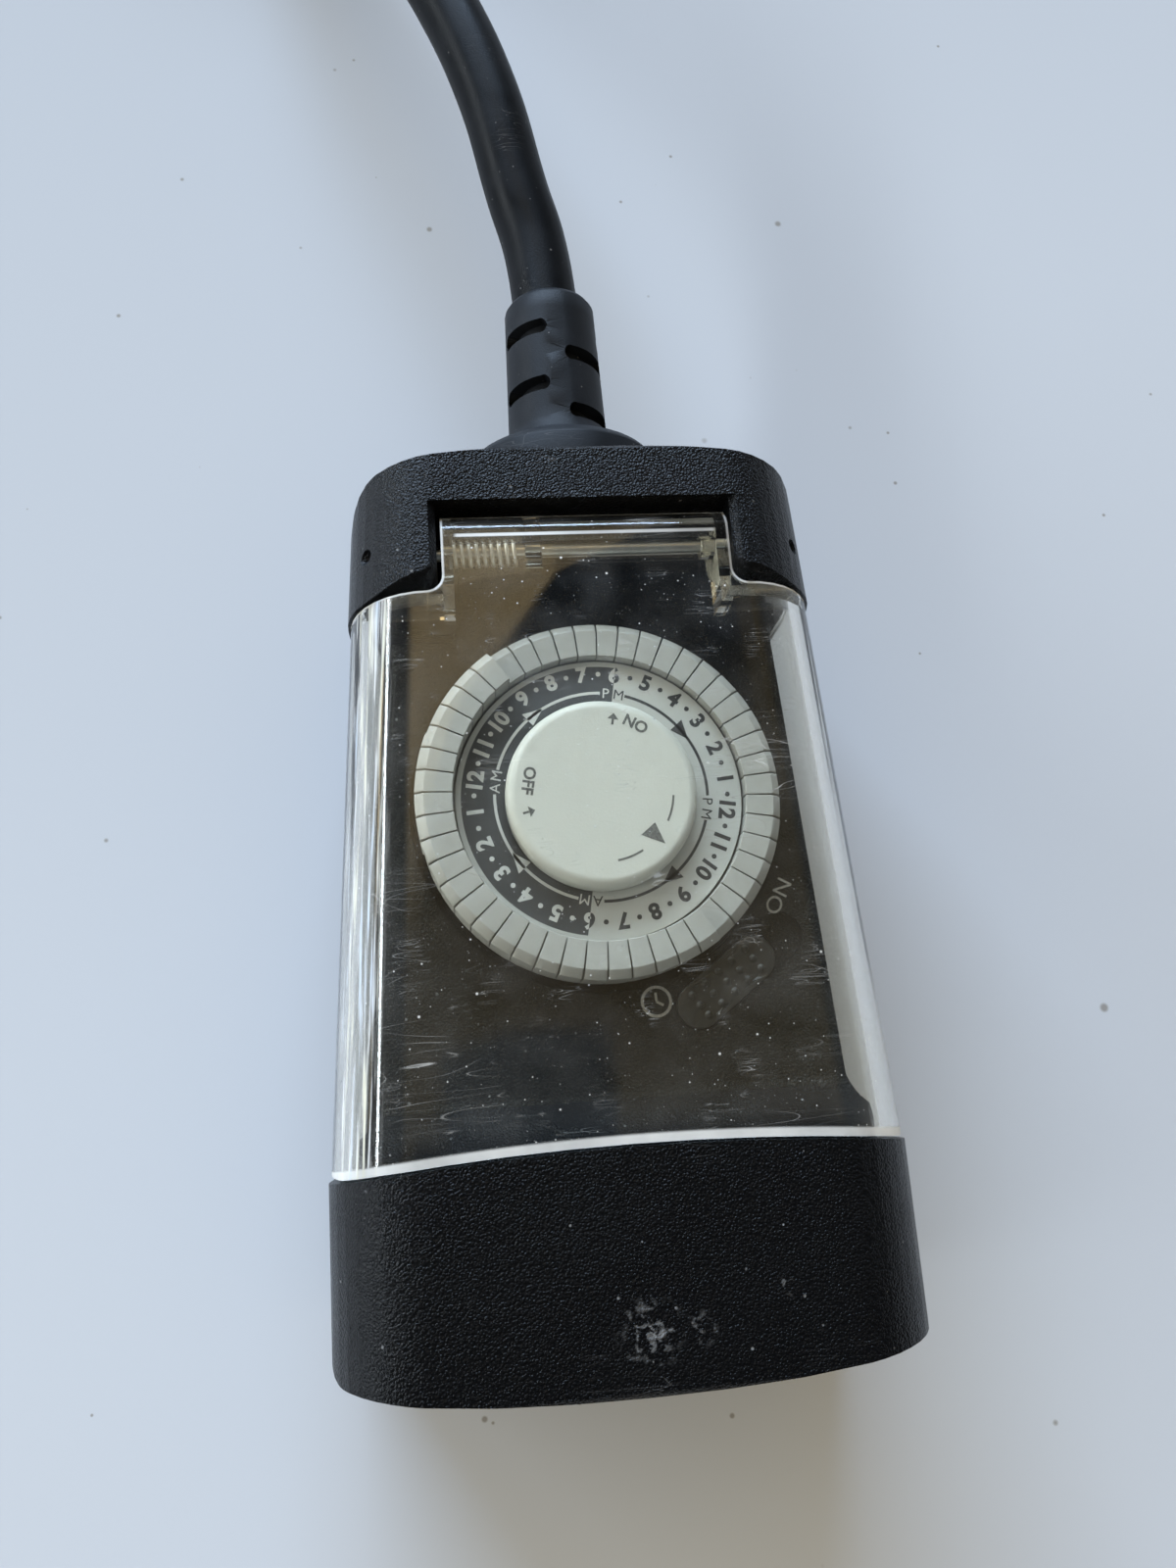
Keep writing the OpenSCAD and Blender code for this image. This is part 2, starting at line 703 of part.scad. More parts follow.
module center_cap() {
    z0 = plate_z + 0.3;
    z1 = plate_z + cap_rise;
    edge = 1.2;
    color("ivory") difference() {
        rotate_extrude() {
            translate([0, z0]) square([cap_r, z1 - edge - z0]);
            translate([0, z0]) square([cap_r - edge, z1 - z0]);
            translate([cap_r - edge, z1 - edge]) circle(edge);
        }
        translate([0, 0, z0 - 1]) cylinder(r = post_r + 0.02, h = z1 - 1.2 - z0 + 1);
    }
}

// One tripper, pointing along +X
module tripper() {
    span = tripper_pitch - tripper_gap / tripper_r * 180 / PI;
    low = tripper_top - block_h;
    rotate(-span / 2) rotate_extrude(angle = span)
        polygon([[tripper_in, low], [tripper_r, low], [tripper_r, tripper_top - 0.9],
                 [tripper_r - 1.1, tripper_top], [tripper_in, tripper_top]]);
    translate([foot_at - foot_l / 2, -foot_w / 2, slot_z - foot_drop])
        cube([foot_l, foot_w, low - slot_z + foot_drop + small]);
}

// Six trippers, three hours of the dial, from an hour counted from 6 pm
module trippers(hour, up) {
    color("lightgray") for (k = [0:5])
        rotate(dial_angle + (2 * hour + k + 0.5) * tripper_pitch) translate([0, 0, up * tripper_travel]) tripper();
}

module trippers_6pm_9pm() { trippers(0, 0); }
module trippers_9pm_midnight() { trippers(3, 1); }
module trippers_midnight_3am() { trippers(6, 1); }
module trippers_3am_6am() { trippers(9, 1); }
module trippers_6am_9am() { trippers(12, 1); }
module trippers_9am_noon() { trippers(15, 0); }
module trippers_noon_3pm() { trippers(18, 0); }
module trippers_3pm_6pm() { trippers(21, 0); }

// ---------- Movement ----------

module movement_plate() {
    color("dimgray") difference() {
        union() {
            intersection() {
                deck_block(wall + 0.3, movement_low, movement_z);
                translate([-far / 2, -movement_low_y, 0]) cube([far, movement_l, far]);
            }
            // Ears of the lever's pivot
            rotate(lever_angle) for (s = [-1, 1])
                translate([pivot_at - pivot_ear / 2, s * (lever_w / 2 + 0.9) - 0.6, movement_z - 0.5])
                    cube([pivot_ear, 1.2, 3]);
        }
        for (p = movement_screws_at) translate([p[0], p[1], movement_low - 1])
            cylinder(r = movement_screw_r + screw_fit, h = movement_t + 2);
        translate([0, 0, movement_low - 1]) cylinder(r = post_r, h = movement_t + 2);
        translate([idler_at[0], idler_at[1], movement_low - 1]) cylinder(r = axle_r, h = movement_t + 2);
        translate([pinion_at[0], pinion_at[1], movement_low - 1]) cylinder(r = axle_r + 0.8, h = movement_t + 2);
        rotate(lever_angle) {
            translate([nose_at - 2, -lever_w / 2 - 0.3, movement_low - 1])
                cube([pivot_at - nose_at + 0.4, lever_w + 0.6, movement_t + 2]);
            translate([pivot_at, 0, lever_z + lever_t / 2]) rotate([90, 0, 0])
                cylinder(r = lever_pin_r, h = 3 * lever_w, center = true);
        }
    }
}

module movement_screws() {
    color("silver") for (p = movement_screws_at) translate([p[0], p[1], movement_low - 1]) {
        cylinder(r = 1.8, h = 1);
        cylinder(r = movement_screw_r, h = movement_t + movement_screw_grip);
    }
}

module motor() {
    can_r = 13.5;
    can_h = 12;
    color("silver") translate([pinion_at[0], pinion_at[1] - 7, movement_low - can_h]) difference() {
        union() {
            cylinder(r = can_r, h = can_h);
            translate([-3, -can_r - 3, can_h - 1]) cube([6, 2 * can_r + 6, 1]);
        }
        translate([0, 7, can_h - 3]) cylinder(r = axle_r + axle_fit, h = 4);
    }
}

module motor_pinion() {
    color("gold") {
        translate([pinion_at[0], pinion_at[1], movement_low - 2.5])
            cylinder(r = axle_r, h = wheel_z + gear_t - movement_low + 2.5);
        translate([pinion_at[0], pinion_at[1], 0]) rotate(motor_dir + 180) gear(pinion_teeth, wheel_z, wheel_z + gear_t);
    }
}

module idler_gear() {
    color("white") translate([idler_at[0], idler_at[1], 0]) difference() {
        union() {
            rotate(motor_dir + 180 / wheel_teeth) gear(wheel_teeth, wheel_z, wheel_z + gear_t);
            rotate(idler_dir + 180) gear(pinion_teeth, wheel_z + gear_t - small, idler_top);
        }
        cylinder(r = axle_r + axle_fit, h = far);
    }
}

module idler_axle() {
    color("silver") translate([idler_at[0], idler_at[1], movement_low])
        cylinder(r = axle_r, h = idler_top + 0.4 - movement_low);
}

module switch_lever() {
    color("white") rotate(lever_angle) difference() {
        union() {
            translate([nose_at - 1, -lever_w / 2, lever_z]) cube([pivot_at - nose_at + 1, lever_w, lever_t]);
            translate([nose_at - 1, -1.2, lever_z]) cube([1.8, 2.4, nose_top - lever_z]);
            translate([slider_at - 1.2, 0.4, lever_z]) cube([2.4, lever_w / 2 - 0.4, lever_t + 0.3]);
            translate([pivot_at, 0, lever_z + lever_t / 2]) rotate([90, 0, 0])
                cylinder(r = 1.1, h = lever_w, center = true);
        }
        translate([pivot_at, 0, lever_z + lever_t / 2]) rotate([90, 0, 0])
            cylinder(r = lever_pin_r + 0.05, h = lever_w + 2, center = true);
    }
}

module lever_pin() {
    color("silver") rotate(lever_angle) translate([pivot_at, 0, lever_z + lever_t / 2]) rotate([90, 0, 0])
        cylinder(r = lever_pin_r, h = lever_w + 3, center = true);
}

module microswitch() {
    beside = 5.6;
    color("firebrick") rotate(lever_angle) difference() {
        translate([plunger_at - switch_w / 2, beside - switch_l, movement_low - switch_h])
            cube([switch_w, switch_l, switch_h]);
        translate([plunger_at, 0, movement_low - 4]) cylinder(r = plunger_r + 0.05, h = 5);
        for (y = [3.6, 13.1]) translate([plunger_at, beside - y, movement_low - switch_h + 2.9]) rotate([0, 90, 0])
            cylinder(r = 1.15, h = far, center = true);
    }
}

module switch_plunger() {
    color("white") rotate(lever_angle) translate([plunger_at, 0, movement_low - 3])
        cylinder(r = plunger_r, h = lever_z - 0.2 - movement_low + 3);
}

// ---------- Override slider ----------

// The slider's own frame: X along its travel, at the middle of its recess
module in_slider() {
    rotate(slider_angle) translate([slider_at, 0, 0]) rotate(90) children();
}

module override_slider() {
    top = deck_z + 0.4;
    w = recess_w - 2 * knob_fit;
    color(black) in_slider() translate([-slider_travel / 2, 0, 0]) {
        translate([0, 0, deck_z - recess_h + 0.1]) linear_extrude(top - deck_z + recess_h - 0.1) stadium(knob_l, w);
        translate([-stem_l / 2, -stem_w / 2, foot_plate_z + foot_plate_t])
            cube([stem_l, stem_w, deck_z - recess_h + 0.2 - foot_plate_z - foot_plate_t]);
        for (x = [-2:2], y = [-1:1]) translate([x * 2.2, y * 1.55, top - 0.1]) sphere(r = 0.5);
    }
}

module slider_foot() {
    low = lever_z + lever_t + 0.25;
    reach = 2.6;
    color("white") in_slider() translate([-slider_travel / 2, 0, 0]) {
        translate([-foot_plate_l / 2, -1.2, foot_plate_z]) cube([foot_plate_l, 3, foot_plate_t]);
        translate([reach, -slider_foot_w / 2, low]) cube([1.8, slider_foot_w, foot_plate_z - low + small]);
    }
}

// ---------- Outlets ----------

module outlet_window() {
    translate([0, wall + bottom_bulge + 0.5 - bottom_y, outlet_mid]) rotate([90, 0, 0])
        linear_extrude(wall + bottom_bulge + 1.5) rounded(block_w + 0.4, block_hh + 0.4, 4);
}

// An outlet's place, seen from outside, for each of the two
module at_outlets() {
    for (s = [-1, 1]) translate([s * outlet_pitch / 2, 0, 0]) children();
}

module outlet_block() {
    face = outlet_face;
    // The wider part behind the shells' end wall
    shelf = low_edge(block_w / 2 + 1.5) + wall + 0.2;
    color(black) difference() {
        union() {
            translate([0, face, outlet_mid]) rotate([-90, 0, 0]) linear_extrude(shelf - face + 0.5)
                rounded(block_w, block_hh, 4);
            translate([0, shelf, outlet_mid]) rotate([-90, 0, 0])
                linear_extrude(block_back - shelf) rounded(block_w + 3, block_hh + 3, 3);
        }
        at_outlets() {
            for (s = [-1, 1]) translate([s * blade_pitch / 2, 0, slots_z]) {
                h = s > 0 ? hot_h : neutral_h;
                translate([-slot_w / 2, face - 1, -h / 2]) cube([slot_w, 4, h]);
                translate([-2.2, face + 2, -neutral_h / 2 - 0.4]) cube([4.4, far, neutral_h + 0.8]);
            }
            translate([0, face - 1, slots_z - ground_drop]) rotate([-90, 0, 0]) cylinder(r = ground_r, h = ground_bore_l + 1);
            translate([-3.4, face + ground_bore_l, slots_z - ground_drop - 3.4]) cube([6.8, far, 6.8]);
        }
    }
}

// A contact: two leaves that grip a blade, joined to the bar behind them over the heights z0 to z1
module contact(z0, z1) {
    front = outlet_face + 3;
    for (s = [-1, 1]) translate([s * (leaf_gap + leaf_t) / 2 - leaf_t / 2, 0, 0]) {
        translate([0, front, slots_z - 3]) cube([leaf_t, block_back - 0.6 - front, 6]);
        translate([0, block_back - 1, z0]) cube([leaf_t, 1.2, z1 - z0]);
    }
}

// A bar across the back of the outlet block
module bar(x0, x1, z0, z1) {
    translate([x0, block_back + 0.05, z0]) cube([x1 - x0, 0.8, z1 - z0]);
}

module hot_bar() {
    x = outlet_pitch / 2 + blade_pitch / 2;
    z = slots_z + 0.6;
    color("gold") {
        at_outlets() translate([blade_pitch / 2, 0, 0]) contact(z, slots_z + 3);
        bar(x - outlet_pitch - 2.4, x + 2.4, z, slots_z + 3);
    }
}

module neutral_bar() {
    x = outlet_pitch / 2 - blade_pitch / 2;
    z = slots_z - 0.6;
    color("silver") {
        at_outlets() translate([-blade_pitch / 2, 0, 0]) contact(slots_z - 3, z);
        bar(x - outlet_pitch - 2.4, x + 2.4, slots_z - 3, z);
    }
}

module ground_bar() {
    z = slots_z - ground_drop;
    front = outlet_face + ground_bore_l + 1;
    color("gold") {
        at_outlets() for (s = [-1, 1]) translate([s * 2.4 - leaf_t / 2, front, z - 2.4])
            cube([leaf_t, block_back + 0.2 - front, 4.8]);
        bar(-outlet_pitch / 2 - 3, outlet_pitch / 2 + 3, z - 1.2, z + 1.2);
    }
}

// ---------- Cord ----------

boot_y = top_y + 0.1;
neck_r = boot_r + 1;

module boot_hole() {
    translate([0, top_y - 2 * wall, part_z]) rotate([-90, 0, 0]) cylinder(r = neck_r + 0.1, h = far);
}

module cord_boot() {
    back = -wall - top_bulge / 4;
    inside = 1.4;
    slit = 2.3;
    slit_in = boot_r - 2.2;
    color(black) translate([0, boot_y, part_z]) rotate([-90, 0, 0]) difference() {
        rotate_extrude() {
            polygon([[0, back - inside], [neck_r + 2, back - inside], [neck_r + 2, back], [neck_r, back], [neck_r, 0],
                     [collar_r, 0], [collar_r, collar_l], [collar_r - 0.9, collar_l + 1.1],
                     [collar_r - 1.9, collar_l + 2.3], [boot_r + 1.8, collar_l + 5.4], [boot_r + 0.5, collar_l + 7.9],
                     [boot_r, collar_l + 10.6], [boot_r - 0.5, boot_l - 0.8], [boot_r - 1, boot_l], [0, boot_l]]);
        }
        // Staggered slits with round ends
        for (k = [0:1], q = [0:3]) translate([0, 0, boot_l - 7 - 9.4 * k - (q % 2 == 0 ? 4.5 : 0)]) rotate(90 * q + 12) {
            rotate_extrude(angle = 66) translate([slit_in, 0]) square([3, slit]);
            for (a = [0, 66]) rotate(a) translate([slit_in, 0, slit / 2]) rotate([0, 90, 0])
                cylinder(r = slit / 2 + 0.04, h = 3);
        }
    }
}

// The cord's route, from the strain relief to the plug
plug_z = 12;
route = [[0, boot_y + boot_l, part_z], [-1.5, 93, 21], [-3.6, 102, 21.5], [-7.4, 120, 22.5], [-13.5, 138, 22.5],
         [-21, 154, 21.5], [-28.5, 169, 18.5], [-35, 184, 15], [-40.5, 199, plug_z]];
plug_dir = [-0.33, 0.94, 0];

// A smooth line through the points p, with n steps from each point to the next
function smooth(p, n) = concat([for (k = [0:len(p) - 2], j = [0:n - 1])
    let (t = j / n, a = p[max(k - 1, 0)], b = p[k], c = p[k + 1], d = p[min(k + 2, len(p) - 1)])
    b + (c - a) * t / 2 + (a - 2.5 * b + 2 * c - d / 2) * pow(t, 2) + (1.5 * (b - c) + (d - a) / 2) * pow(t, 3)],
    [p[len(p) - 1]]);

module cord() {
    color("#26272b") wire(smooth(route, 3), cord_r, 12, [0, 0, 1], [0, 1, 0], unit(plug_dir));
}

// The plug's own frame: X along its blades, from the cord's end
module in_plug() {
    translate(route[len(route) - 1]) rotate(atan2(plug_dir[1], plug_dir[0])) children();
}

relief_l = 14;
blade_l = 16.5;
blade_t = 1.5;
blade_w = 6.4;
pin_l = 19;

module plug_body() {
    h = 2 * plug_z;
    color(black) in_plug() {
        rotate([90, 0, 90]) cylinder(r1 = cord_r + 1, r2 = cord_r + 2.6, h = relief_l);
        hull() {
            translate([relief_l - small, 0, 0]) rotate([90, 0, 90]) linear_extrude(1) rounded(17, 16, 6);
            translate([relief_l + 12, 0, 0]) rotate([90, 0, 90]) linear_extrude(plug_l - 14) rounded(plug_w, h, 5);
            translate([relief_l + plug_l - 1, 0, 0]) rotate([90, 0, 90]) linear_extrude(1) rounded(plug_w - 2, h - 2, 5);
        }
    }
}

module plug_blades() {
    color("silver") in_plug() for (s = [-1, 1])
        translate([relief_l + plug_l, s * blade_pitch / 2 - blade_t / 2, 4 - blade_w / 2]) cube([blade_l, blade_t, blade_w]);
}

module plug_ground_pin() {
    color("silver") in_plug() translate([relief_l + plug_l, 0, 4 - ground_drop]) rotate([0, 90, 0])
        rotate_extrude() {
            square([plug_pin_r, pin_l - plug_pin_r]);
            intersection() {
                translate([0, pin_l - plug_pin_r]) circle(plug_pin_r);
                square([plug_pin_r, pin_l]);
            }
        }
}

rear_housing();
front_housing();
cover();
hinge_pin();
cover_spring();
dial_carrier();
dial_plate();
dial_gear();
dial_post();
center_cap();
trippers_9am_noon();
trippers_noon_3pm();
trippers_3pm_6pm();
trippers_6pm_9pm();
trippers_9pm_midnight();
trippers_midnight_3am();
trippers_3am_6am();
trippers_6am_9am();
movement_plate();
motor();
motor_pinion();
idler_gear();
idler_axle();
switch_lever();
lever_pin();
microswitch();
switch_plunger();
override_slider();
slider_foot();
outlet_block();
hot_bar();
neutral_bar();
ground_bar();
housing_screws();
movement_screws();
cord_boot();
cord();
plug_body();
plug_blades();
plug_ground_pin();
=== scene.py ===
import json
import math

import bmesh
import bpy
from mathutils import Euler, Matrix, Vector


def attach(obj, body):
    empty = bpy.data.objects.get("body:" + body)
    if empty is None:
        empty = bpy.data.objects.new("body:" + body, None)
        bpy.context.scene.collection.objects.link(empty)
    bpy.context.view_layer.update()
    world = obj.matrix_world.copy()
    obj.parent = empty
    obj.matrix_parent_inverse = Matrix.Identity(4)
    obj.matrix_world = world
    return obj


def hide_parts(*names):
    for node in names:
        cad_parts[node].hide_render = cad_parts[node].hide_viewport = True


# Outdoor timer switch: camera and cord first, then finishes, printing, small parts and light

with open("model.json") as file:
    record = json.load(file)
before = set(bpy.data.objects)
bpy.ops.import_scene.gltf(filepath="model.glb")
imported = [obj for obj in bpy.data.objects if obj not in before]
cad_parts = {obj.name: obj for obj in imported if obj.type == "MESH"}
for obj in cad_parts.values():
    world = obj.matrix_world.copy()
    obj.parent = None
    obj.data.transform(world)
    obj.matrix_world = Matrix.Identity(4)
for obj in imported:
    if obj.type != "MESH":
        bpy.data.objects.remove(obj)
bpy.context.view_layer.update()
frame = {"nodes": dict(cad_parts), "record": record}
nodes = frame["nodes"]
mm = 0.001

# Camera

camera = {
    "at": (-17.52, -33.82, 182.59),  # mm above the table
    "turn": (14.29, -5.40, -4.13),  # degrees
    "lens": 27.675,
    "sensor": 36,
}

lensData = bpy.data.cameras.new("camera")
lensData.sensor_fit = "AUTO"
lensData.sensor_width = camera["sensor"]
lensData.lens = camera["lens"]
lensData.clip_start = 0.005
lensData.clip_end = 20
eye = bpy.data.objects.new("camera", lensData)
eye.location = Vector(camera["at"]) * mm
eye.rotation_euler = Euler([math.radians(a) for a in camera["turn"]])
bpy.context.scene.collection.objects.link(eye)
bpy.context.scene.camera = eye
bpy.context.scene.view_settings.view_transform = "Standard"

# Small mesh helpers


def newPiece(name, mesh, body, material=None):
    piece = bpy.data.objects.new(name, mesh)
    bpy.context.scene.collection.objects.link(piece)
    if material:
        mesh.materials.clear()
        mesh.materials.append(material)
    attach(piece, body)
    return piece


def meshFrom(name, bm, smooth=True):
    bmesh.ops.recalc_face_normals(bm, faces=bm.faces)
    mesh = bpy.data.meshes.new(name)
    for face in bm.faces:
        face.smooth = smooth
    bm.to_mesh(mesh)
    bm.free()
    return mesh


def sweep(points, radius, sides, up=Vector((0, 0, 1))):
    # A closed round wire along a list of points
    bm = bmesh.new()
    rings = []
    for k, point in enumerate(points):
        ahead = (points[min(k + 1, len(points) - 1)] - points[max(k - 1, 0)]).normalized()
        side = up.cross(ahead).normalized()
        top = ahead.cross(side)
        wheel = [2 * math.pi * j / sides for j in range(sides)]
        rings.append([bm.verts.new(point + radius * (math.cos(a) * side + math.sin(a) * top)) for a in wheel])
    for low, high in zip(rings, rings[1:]):
        for j in range(sides):
            bm.faces.new((low[j], low[(j + 1) % sides], high[(j + 1) % sides], high[j]))
    bm.faces.new(rings[0])
    bm.faces.new(rings[-1])
    return bm


# Cord

cordFacts = {
    "route": [(0, 75, 21), (-1.5, 93, 21), (-3.6, 102, 21.5), (-7.4, 120, 22.5), (-13.5, 138, 22.5),
              (-21, 154, 21.5), (-28.5, 169, 18.5), (-35, 184, 15), (-40.5, 199, 12)],
    "radius": 5,
    "exit": (0, 81.4, 21),
    "length": 0.1326,
}


def makeCord():
    curve = bpy.data.curves.new("cordRun", "CURVE")
    curve.dimensions = "3D"
    curve.resolution_u = 12
    curve.bevel_depth = 1
    curve.bevel_resolution = 7
    curve.use_fill_caps = True
    spline = curve.splines.new("BEZIER")
    spline.bezier_points.add(len(cordFacts["route"]) - 1)
    for bezier, point in zip(spline.bezier_points, cordFacts["route"]):
        bezier.co = Vector(point) * mm
        # The point's radius thickens the cord, and it counts in the curve's box
        bezier.radius = cordFacts["radius"] * mm
        bezier.handle_left_type = "AUTO"
        bezier.handle_right_type = "AUTO"
    piece = bpy.data.objects.new("cordRun", curve)
    bpy.context.scene.collection.objects.link(piece)
    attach(piece, "housing")
    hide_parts("cord")
    return piece


cordRun = makeCord()
print("camera and cord ready")

# Shader helpers


def addNode(tree, kind, x, y, **settings):
    node = tree.nodes.new(kind)
    node.location = (x, y)
    for key, value in settings.items():
        if key.startswith("in_"):
            place = key[3:]
            node.inputs[int(place) if place.isdigit() else place.replace("_", " ")].default_value = value
        else:
            setattr(node, key, value)
    return node


def newGroup(name, inputs, outputs):
    tree = bpy.data.node_groups.new(name, "ShaderNodeTree")
    for label, kind, value in inputs:
        socket = tree.interface.new_socket(label, in_out="INPUT", socket_type=kind)
        if value is not None:
            socket.default_value = value
    for label, kind in outputs:
        tree.interface.new_socket(label, in_out="OUTPUT", socket_type=kind)
    entry = addNode(tree, "NodeGroupInput", -1200, 0)
    leave = addNode(tree, "NodeGroupOutput", 900, 0)
    return tree, entry, leave


def math2(tree, operation, a, b, x, y, clamp=False):
    # One Math node from two sockets or numbers
    node = addNode(tree, "ShaderNodeMath", x, y, operation=operation, use_clamp=clamp)
    for place, value in enumerate((a, b)):
        if isinstance(value, (int, float)):
            node.inputs[place].default_value = value
        elif value is not None:
            tree.links.new(value, node.inputs[place])
    return node.outputs[0]


def mapRange(tree, value, low, high, start, end, x, y, smooth=False):
    node = addNode(tree, "ShaderNodeMapRange", x, y)
    if smooth:
        node.interpolation_type = "SMOOTHSTEP"
    for place, number in zip((1, 2, 3, 4), (low, high, start, end)):
        if isinstance(number, (int, float)):
            node.inputs[place].default_value = number
        else:
            tree.links.new(number, node.inputs[place])
    tree.links.new(value, node.inputs[0])
    return node.outputs[0]


def mixColours(tree, mask, low, high, x, y):
    # A colour from low to high by the mask. Each is a colour or a socket
    node = addNode(tree, "ShaderNodeMix", x, y, data_type="RGBA")
    tree.links.new(mask, node.inputs[0])
    for place, value in ((6, low), (7, high)):
        if isinstance(value, tuple):
            node.inputs[place].default_value = (*value, 1)
        else:
            tree.links.new(value, node.inputs[place])
    return node.outputs[2]


def dotWith(tree, vector, way, x, y):
    # How far the vector reaches along a direction
    node = addNode(tree, "ShaderNodeVectorMath", x, y, operation="DOT_PRODUCT")
    node.inputs[1].default_value = way
    tree.links.new(vector, node.inputs[0])
    return node.outputs["Value"]


def parted(tree, vector, x, y):
    # The vector's three parts
    node = addNode(tree, "ShaderNodeSeparateXYZ", x, y)
    tree.links.new(vector, node.inputs[0])
    return node.outputs


def scaled(tree, vector, size, x, y):
    # The vector divided by a size in metres
    node = addNode(tree, "ShaderNodeVectorMath", x, y, operation="SCALE")
    tree.links.new(vector, node.inputs[0])
    tree.links.new(math2(tree, "DIVIDE", 1.0, size, x - 180, y - 120), node.inputs["Scale"])
    return node.outputs[0]


# Leather grain: soft pebbles between fine valleys, mixed with a finer noise
def leatherGrainGroup():
    tree, entry, leave = newGroup("leatherGrain", [
        ("Vector", "NodeSocketVector", None), ("Size", "NodeSocketFloat", 0.0005),
        ("Fine", "NodeSocketFloat", 0.3)], [("Height", "NodeSocketFloat")])
    vector = scaled(tree, entry.outputs["Vector"], entry.outputs["Size"], -900, 0)
    warp = addNode(tree, "ShaderNodeTexNoise", -700, -200, in_Scale=1.1, in_Detail=1.0)
    tree.links.new(vector, warp.inputs["Vector"])
    bent = addNode(tree, "ShaderNodeVectorMath", -500, 0, operation="MULTIPLY_ADD")
    tree.links.new(warp.outputs["Color"], bent.inputs[0])
    bent.inputs[1].default_value = (0.65, 0.65, 0.65)
    tree.links.new(vector, bent.inputs[2])
    cells = addNode(tree, "ShaderNodeTexVoronoi", -300, 0, feature="SMOOTH_F1", in_Scale=1.0,
                    in_Smoothness=0.35)
    tree.links.new(bent.outputs[0], cells.inputs["Vector"])
    fine = addNode(tree, "ShaderNodeTexNoise", -300, -300, in_Scale=2.6, in_Detail=2.0)
    tree.links.new(bent.outputs[0], fine.inputs["Vector"])
    pebble = mapRange(tree, cells.outputs["Distance"], 0.15, 0.85, 1.0, 0.0, -50, 0, smooth=True)
    mixed = addNode(tree, "ShaderNodeMix", 300, 0)
    tree.links.new(entry.outputs["Fine"], mixed.inputs[0])
    tree.links.new(pebble, mixed.inputs[2])
    tree.links.new(fine.outputs[0], mixed.inputs[3])
    tree.links.new(mixed.outputs[0], leave.inputs["Height"])
    return tree


# Hairlines: long thin marks in several directions, broken up by a slow mask
def hairlinesGroup():
    tree, entry, leave = newGroup("hairlines", [
        ("Vector", "NodeSocketVector", None), ("Length", "NodeSocketFloat", 0.006),
        ("Width", "NodeSocketFloat", 0.02), ("Amount", "NodeSocketFloat", 0.5)],
        [("Mask", "NodeSocketFloat")])
    vector = scaled(tree, entry.outputs["Vector"], entry.outputs["Length"], -900, 0)
    total = None
    for k, (turn, stretch) in enumerate(((0.35, 9), (1.25, 14), (2.2, 7), (2.9, 18))):
        y = 500 - 260 * k
        place = addNode(tree, "ShaderNodeMapping", -650, y)
        place.inputs["Location"].default_value = (3.1 * k, 1.7 * k, 0.6 * k)
        place.inputs["Rotation"].default_value = (0.2 * k, 0.15, turn)
        place.inputs["Scale"].default_value = (1, stretch, stretch / 3)
        tree.links.new(vector, place.inputs["Vector"])
        noise = addNode(tree, "ShaderNodeTexNoise", -450, y, in_Scale=0.55, in_Detail=0.0, in_Distortion=0.15)
        tree.links.new(place.outputs[0], noise.inputs["Vector"])
        away = math2(tree, "SUBTRACT", noise.outputs[0], 0.62, -250, y)
        away = math2(tree, "ABSOLUTE", away, None, -100, y)
        line = mapRange(tree, away, 0.0, entry.outputs["Width"], 1.0, 0.0, 50, y)
        total = line if total is None else math2(tree, "MAXIMUM", total, line, 250, y)
    patches = addNode(tree, "ShaderNodeTexNoise", -450, -700, in_Scale=0.9, in_Detail=2.0)
    tree.links.new(vector, patches.inputs["Vector"])
    low = math2(tree, "MULTIPLY", entry.outputs["Amount"], 0.35, -250, -850)
    low = math2(tree, "SUBTRACT", 0.75, low, -100, -850)
    high = math2(tree, "ADD", low, 0.12, 50, -850)
    shown = mapRange(tree, patches.outputs[0], low, high, 0.0, 1.0, 200, -700)
    tree.links.new(math2(tree, "MULTIPLY", total, shown, 600, 0), leave.inputs["Mask"])
    return tree


# Specks of dust: few round dots of uneven size
def dustSpecksGroup():
    tree, entry, leave = newGroup("dustSpecks", [
        ("Vector", "NodeSocketVector", None), ("Spacing", "NodeSocketFloat", 0.003),
        ("Amount", "NodeSocketFloat", 0.3)], [("Mask", "NodeSocketFloat")])
    total = None
    for k, (share, radius) in enumerate(((1.0, 0.075), (0.37, 0.11))):
        y = 200 - 400 * k
        size = math2(tree, "MULTIPLY", entry.outputs["Spacing"], share, -1000, y - 200)
        vector = scaled(tree, entry.outputs["Vector"], size, -800, y)
        cells = addNode(tree, "ShaderNodeTexVoronoi", -500, y, in_Scale=1.0)
        tree.links.new(vector, cells.inputs["Vector"])
        chance = addNode(tree, "ShaderNodeSeparateColor", -300, y - 150)
        tree.links.new(cells.outputs["Color"], chance.inputs[0])
        picked = math2(tree, "LESS_THAN", chance.outputs[0], entry.outputs["Amount"], -100, y - 150)
        reach = math2(tree, "ADD", chance.outputs[1], 0.4, -100, y - 300)
        reach = math2(tree, "MULTIPLY", reach, radius, 50, y - 300)
        core = math2(tree, "MULTIPLY", reach, 0.5, 200, y - 300)
        dot = mapRange(tree, cells.outputs["Distance"], core, reach, 1.0, 0.0, 350, y)
        spot = math2(tree, "MULTIPLY", dot, picked, 500, y)
        total = spot if total is None else math2(tree, "MAXIMUM", total, spot, 700, 0)
    tree.links.new(total, leave.inputs["Mask"])
    return tree


groups = {"leather": leatherGrainGroup(), "hairlines": hairlinesGroup(), "dust": dustSpecksGroup()}
print("shader groups ready")


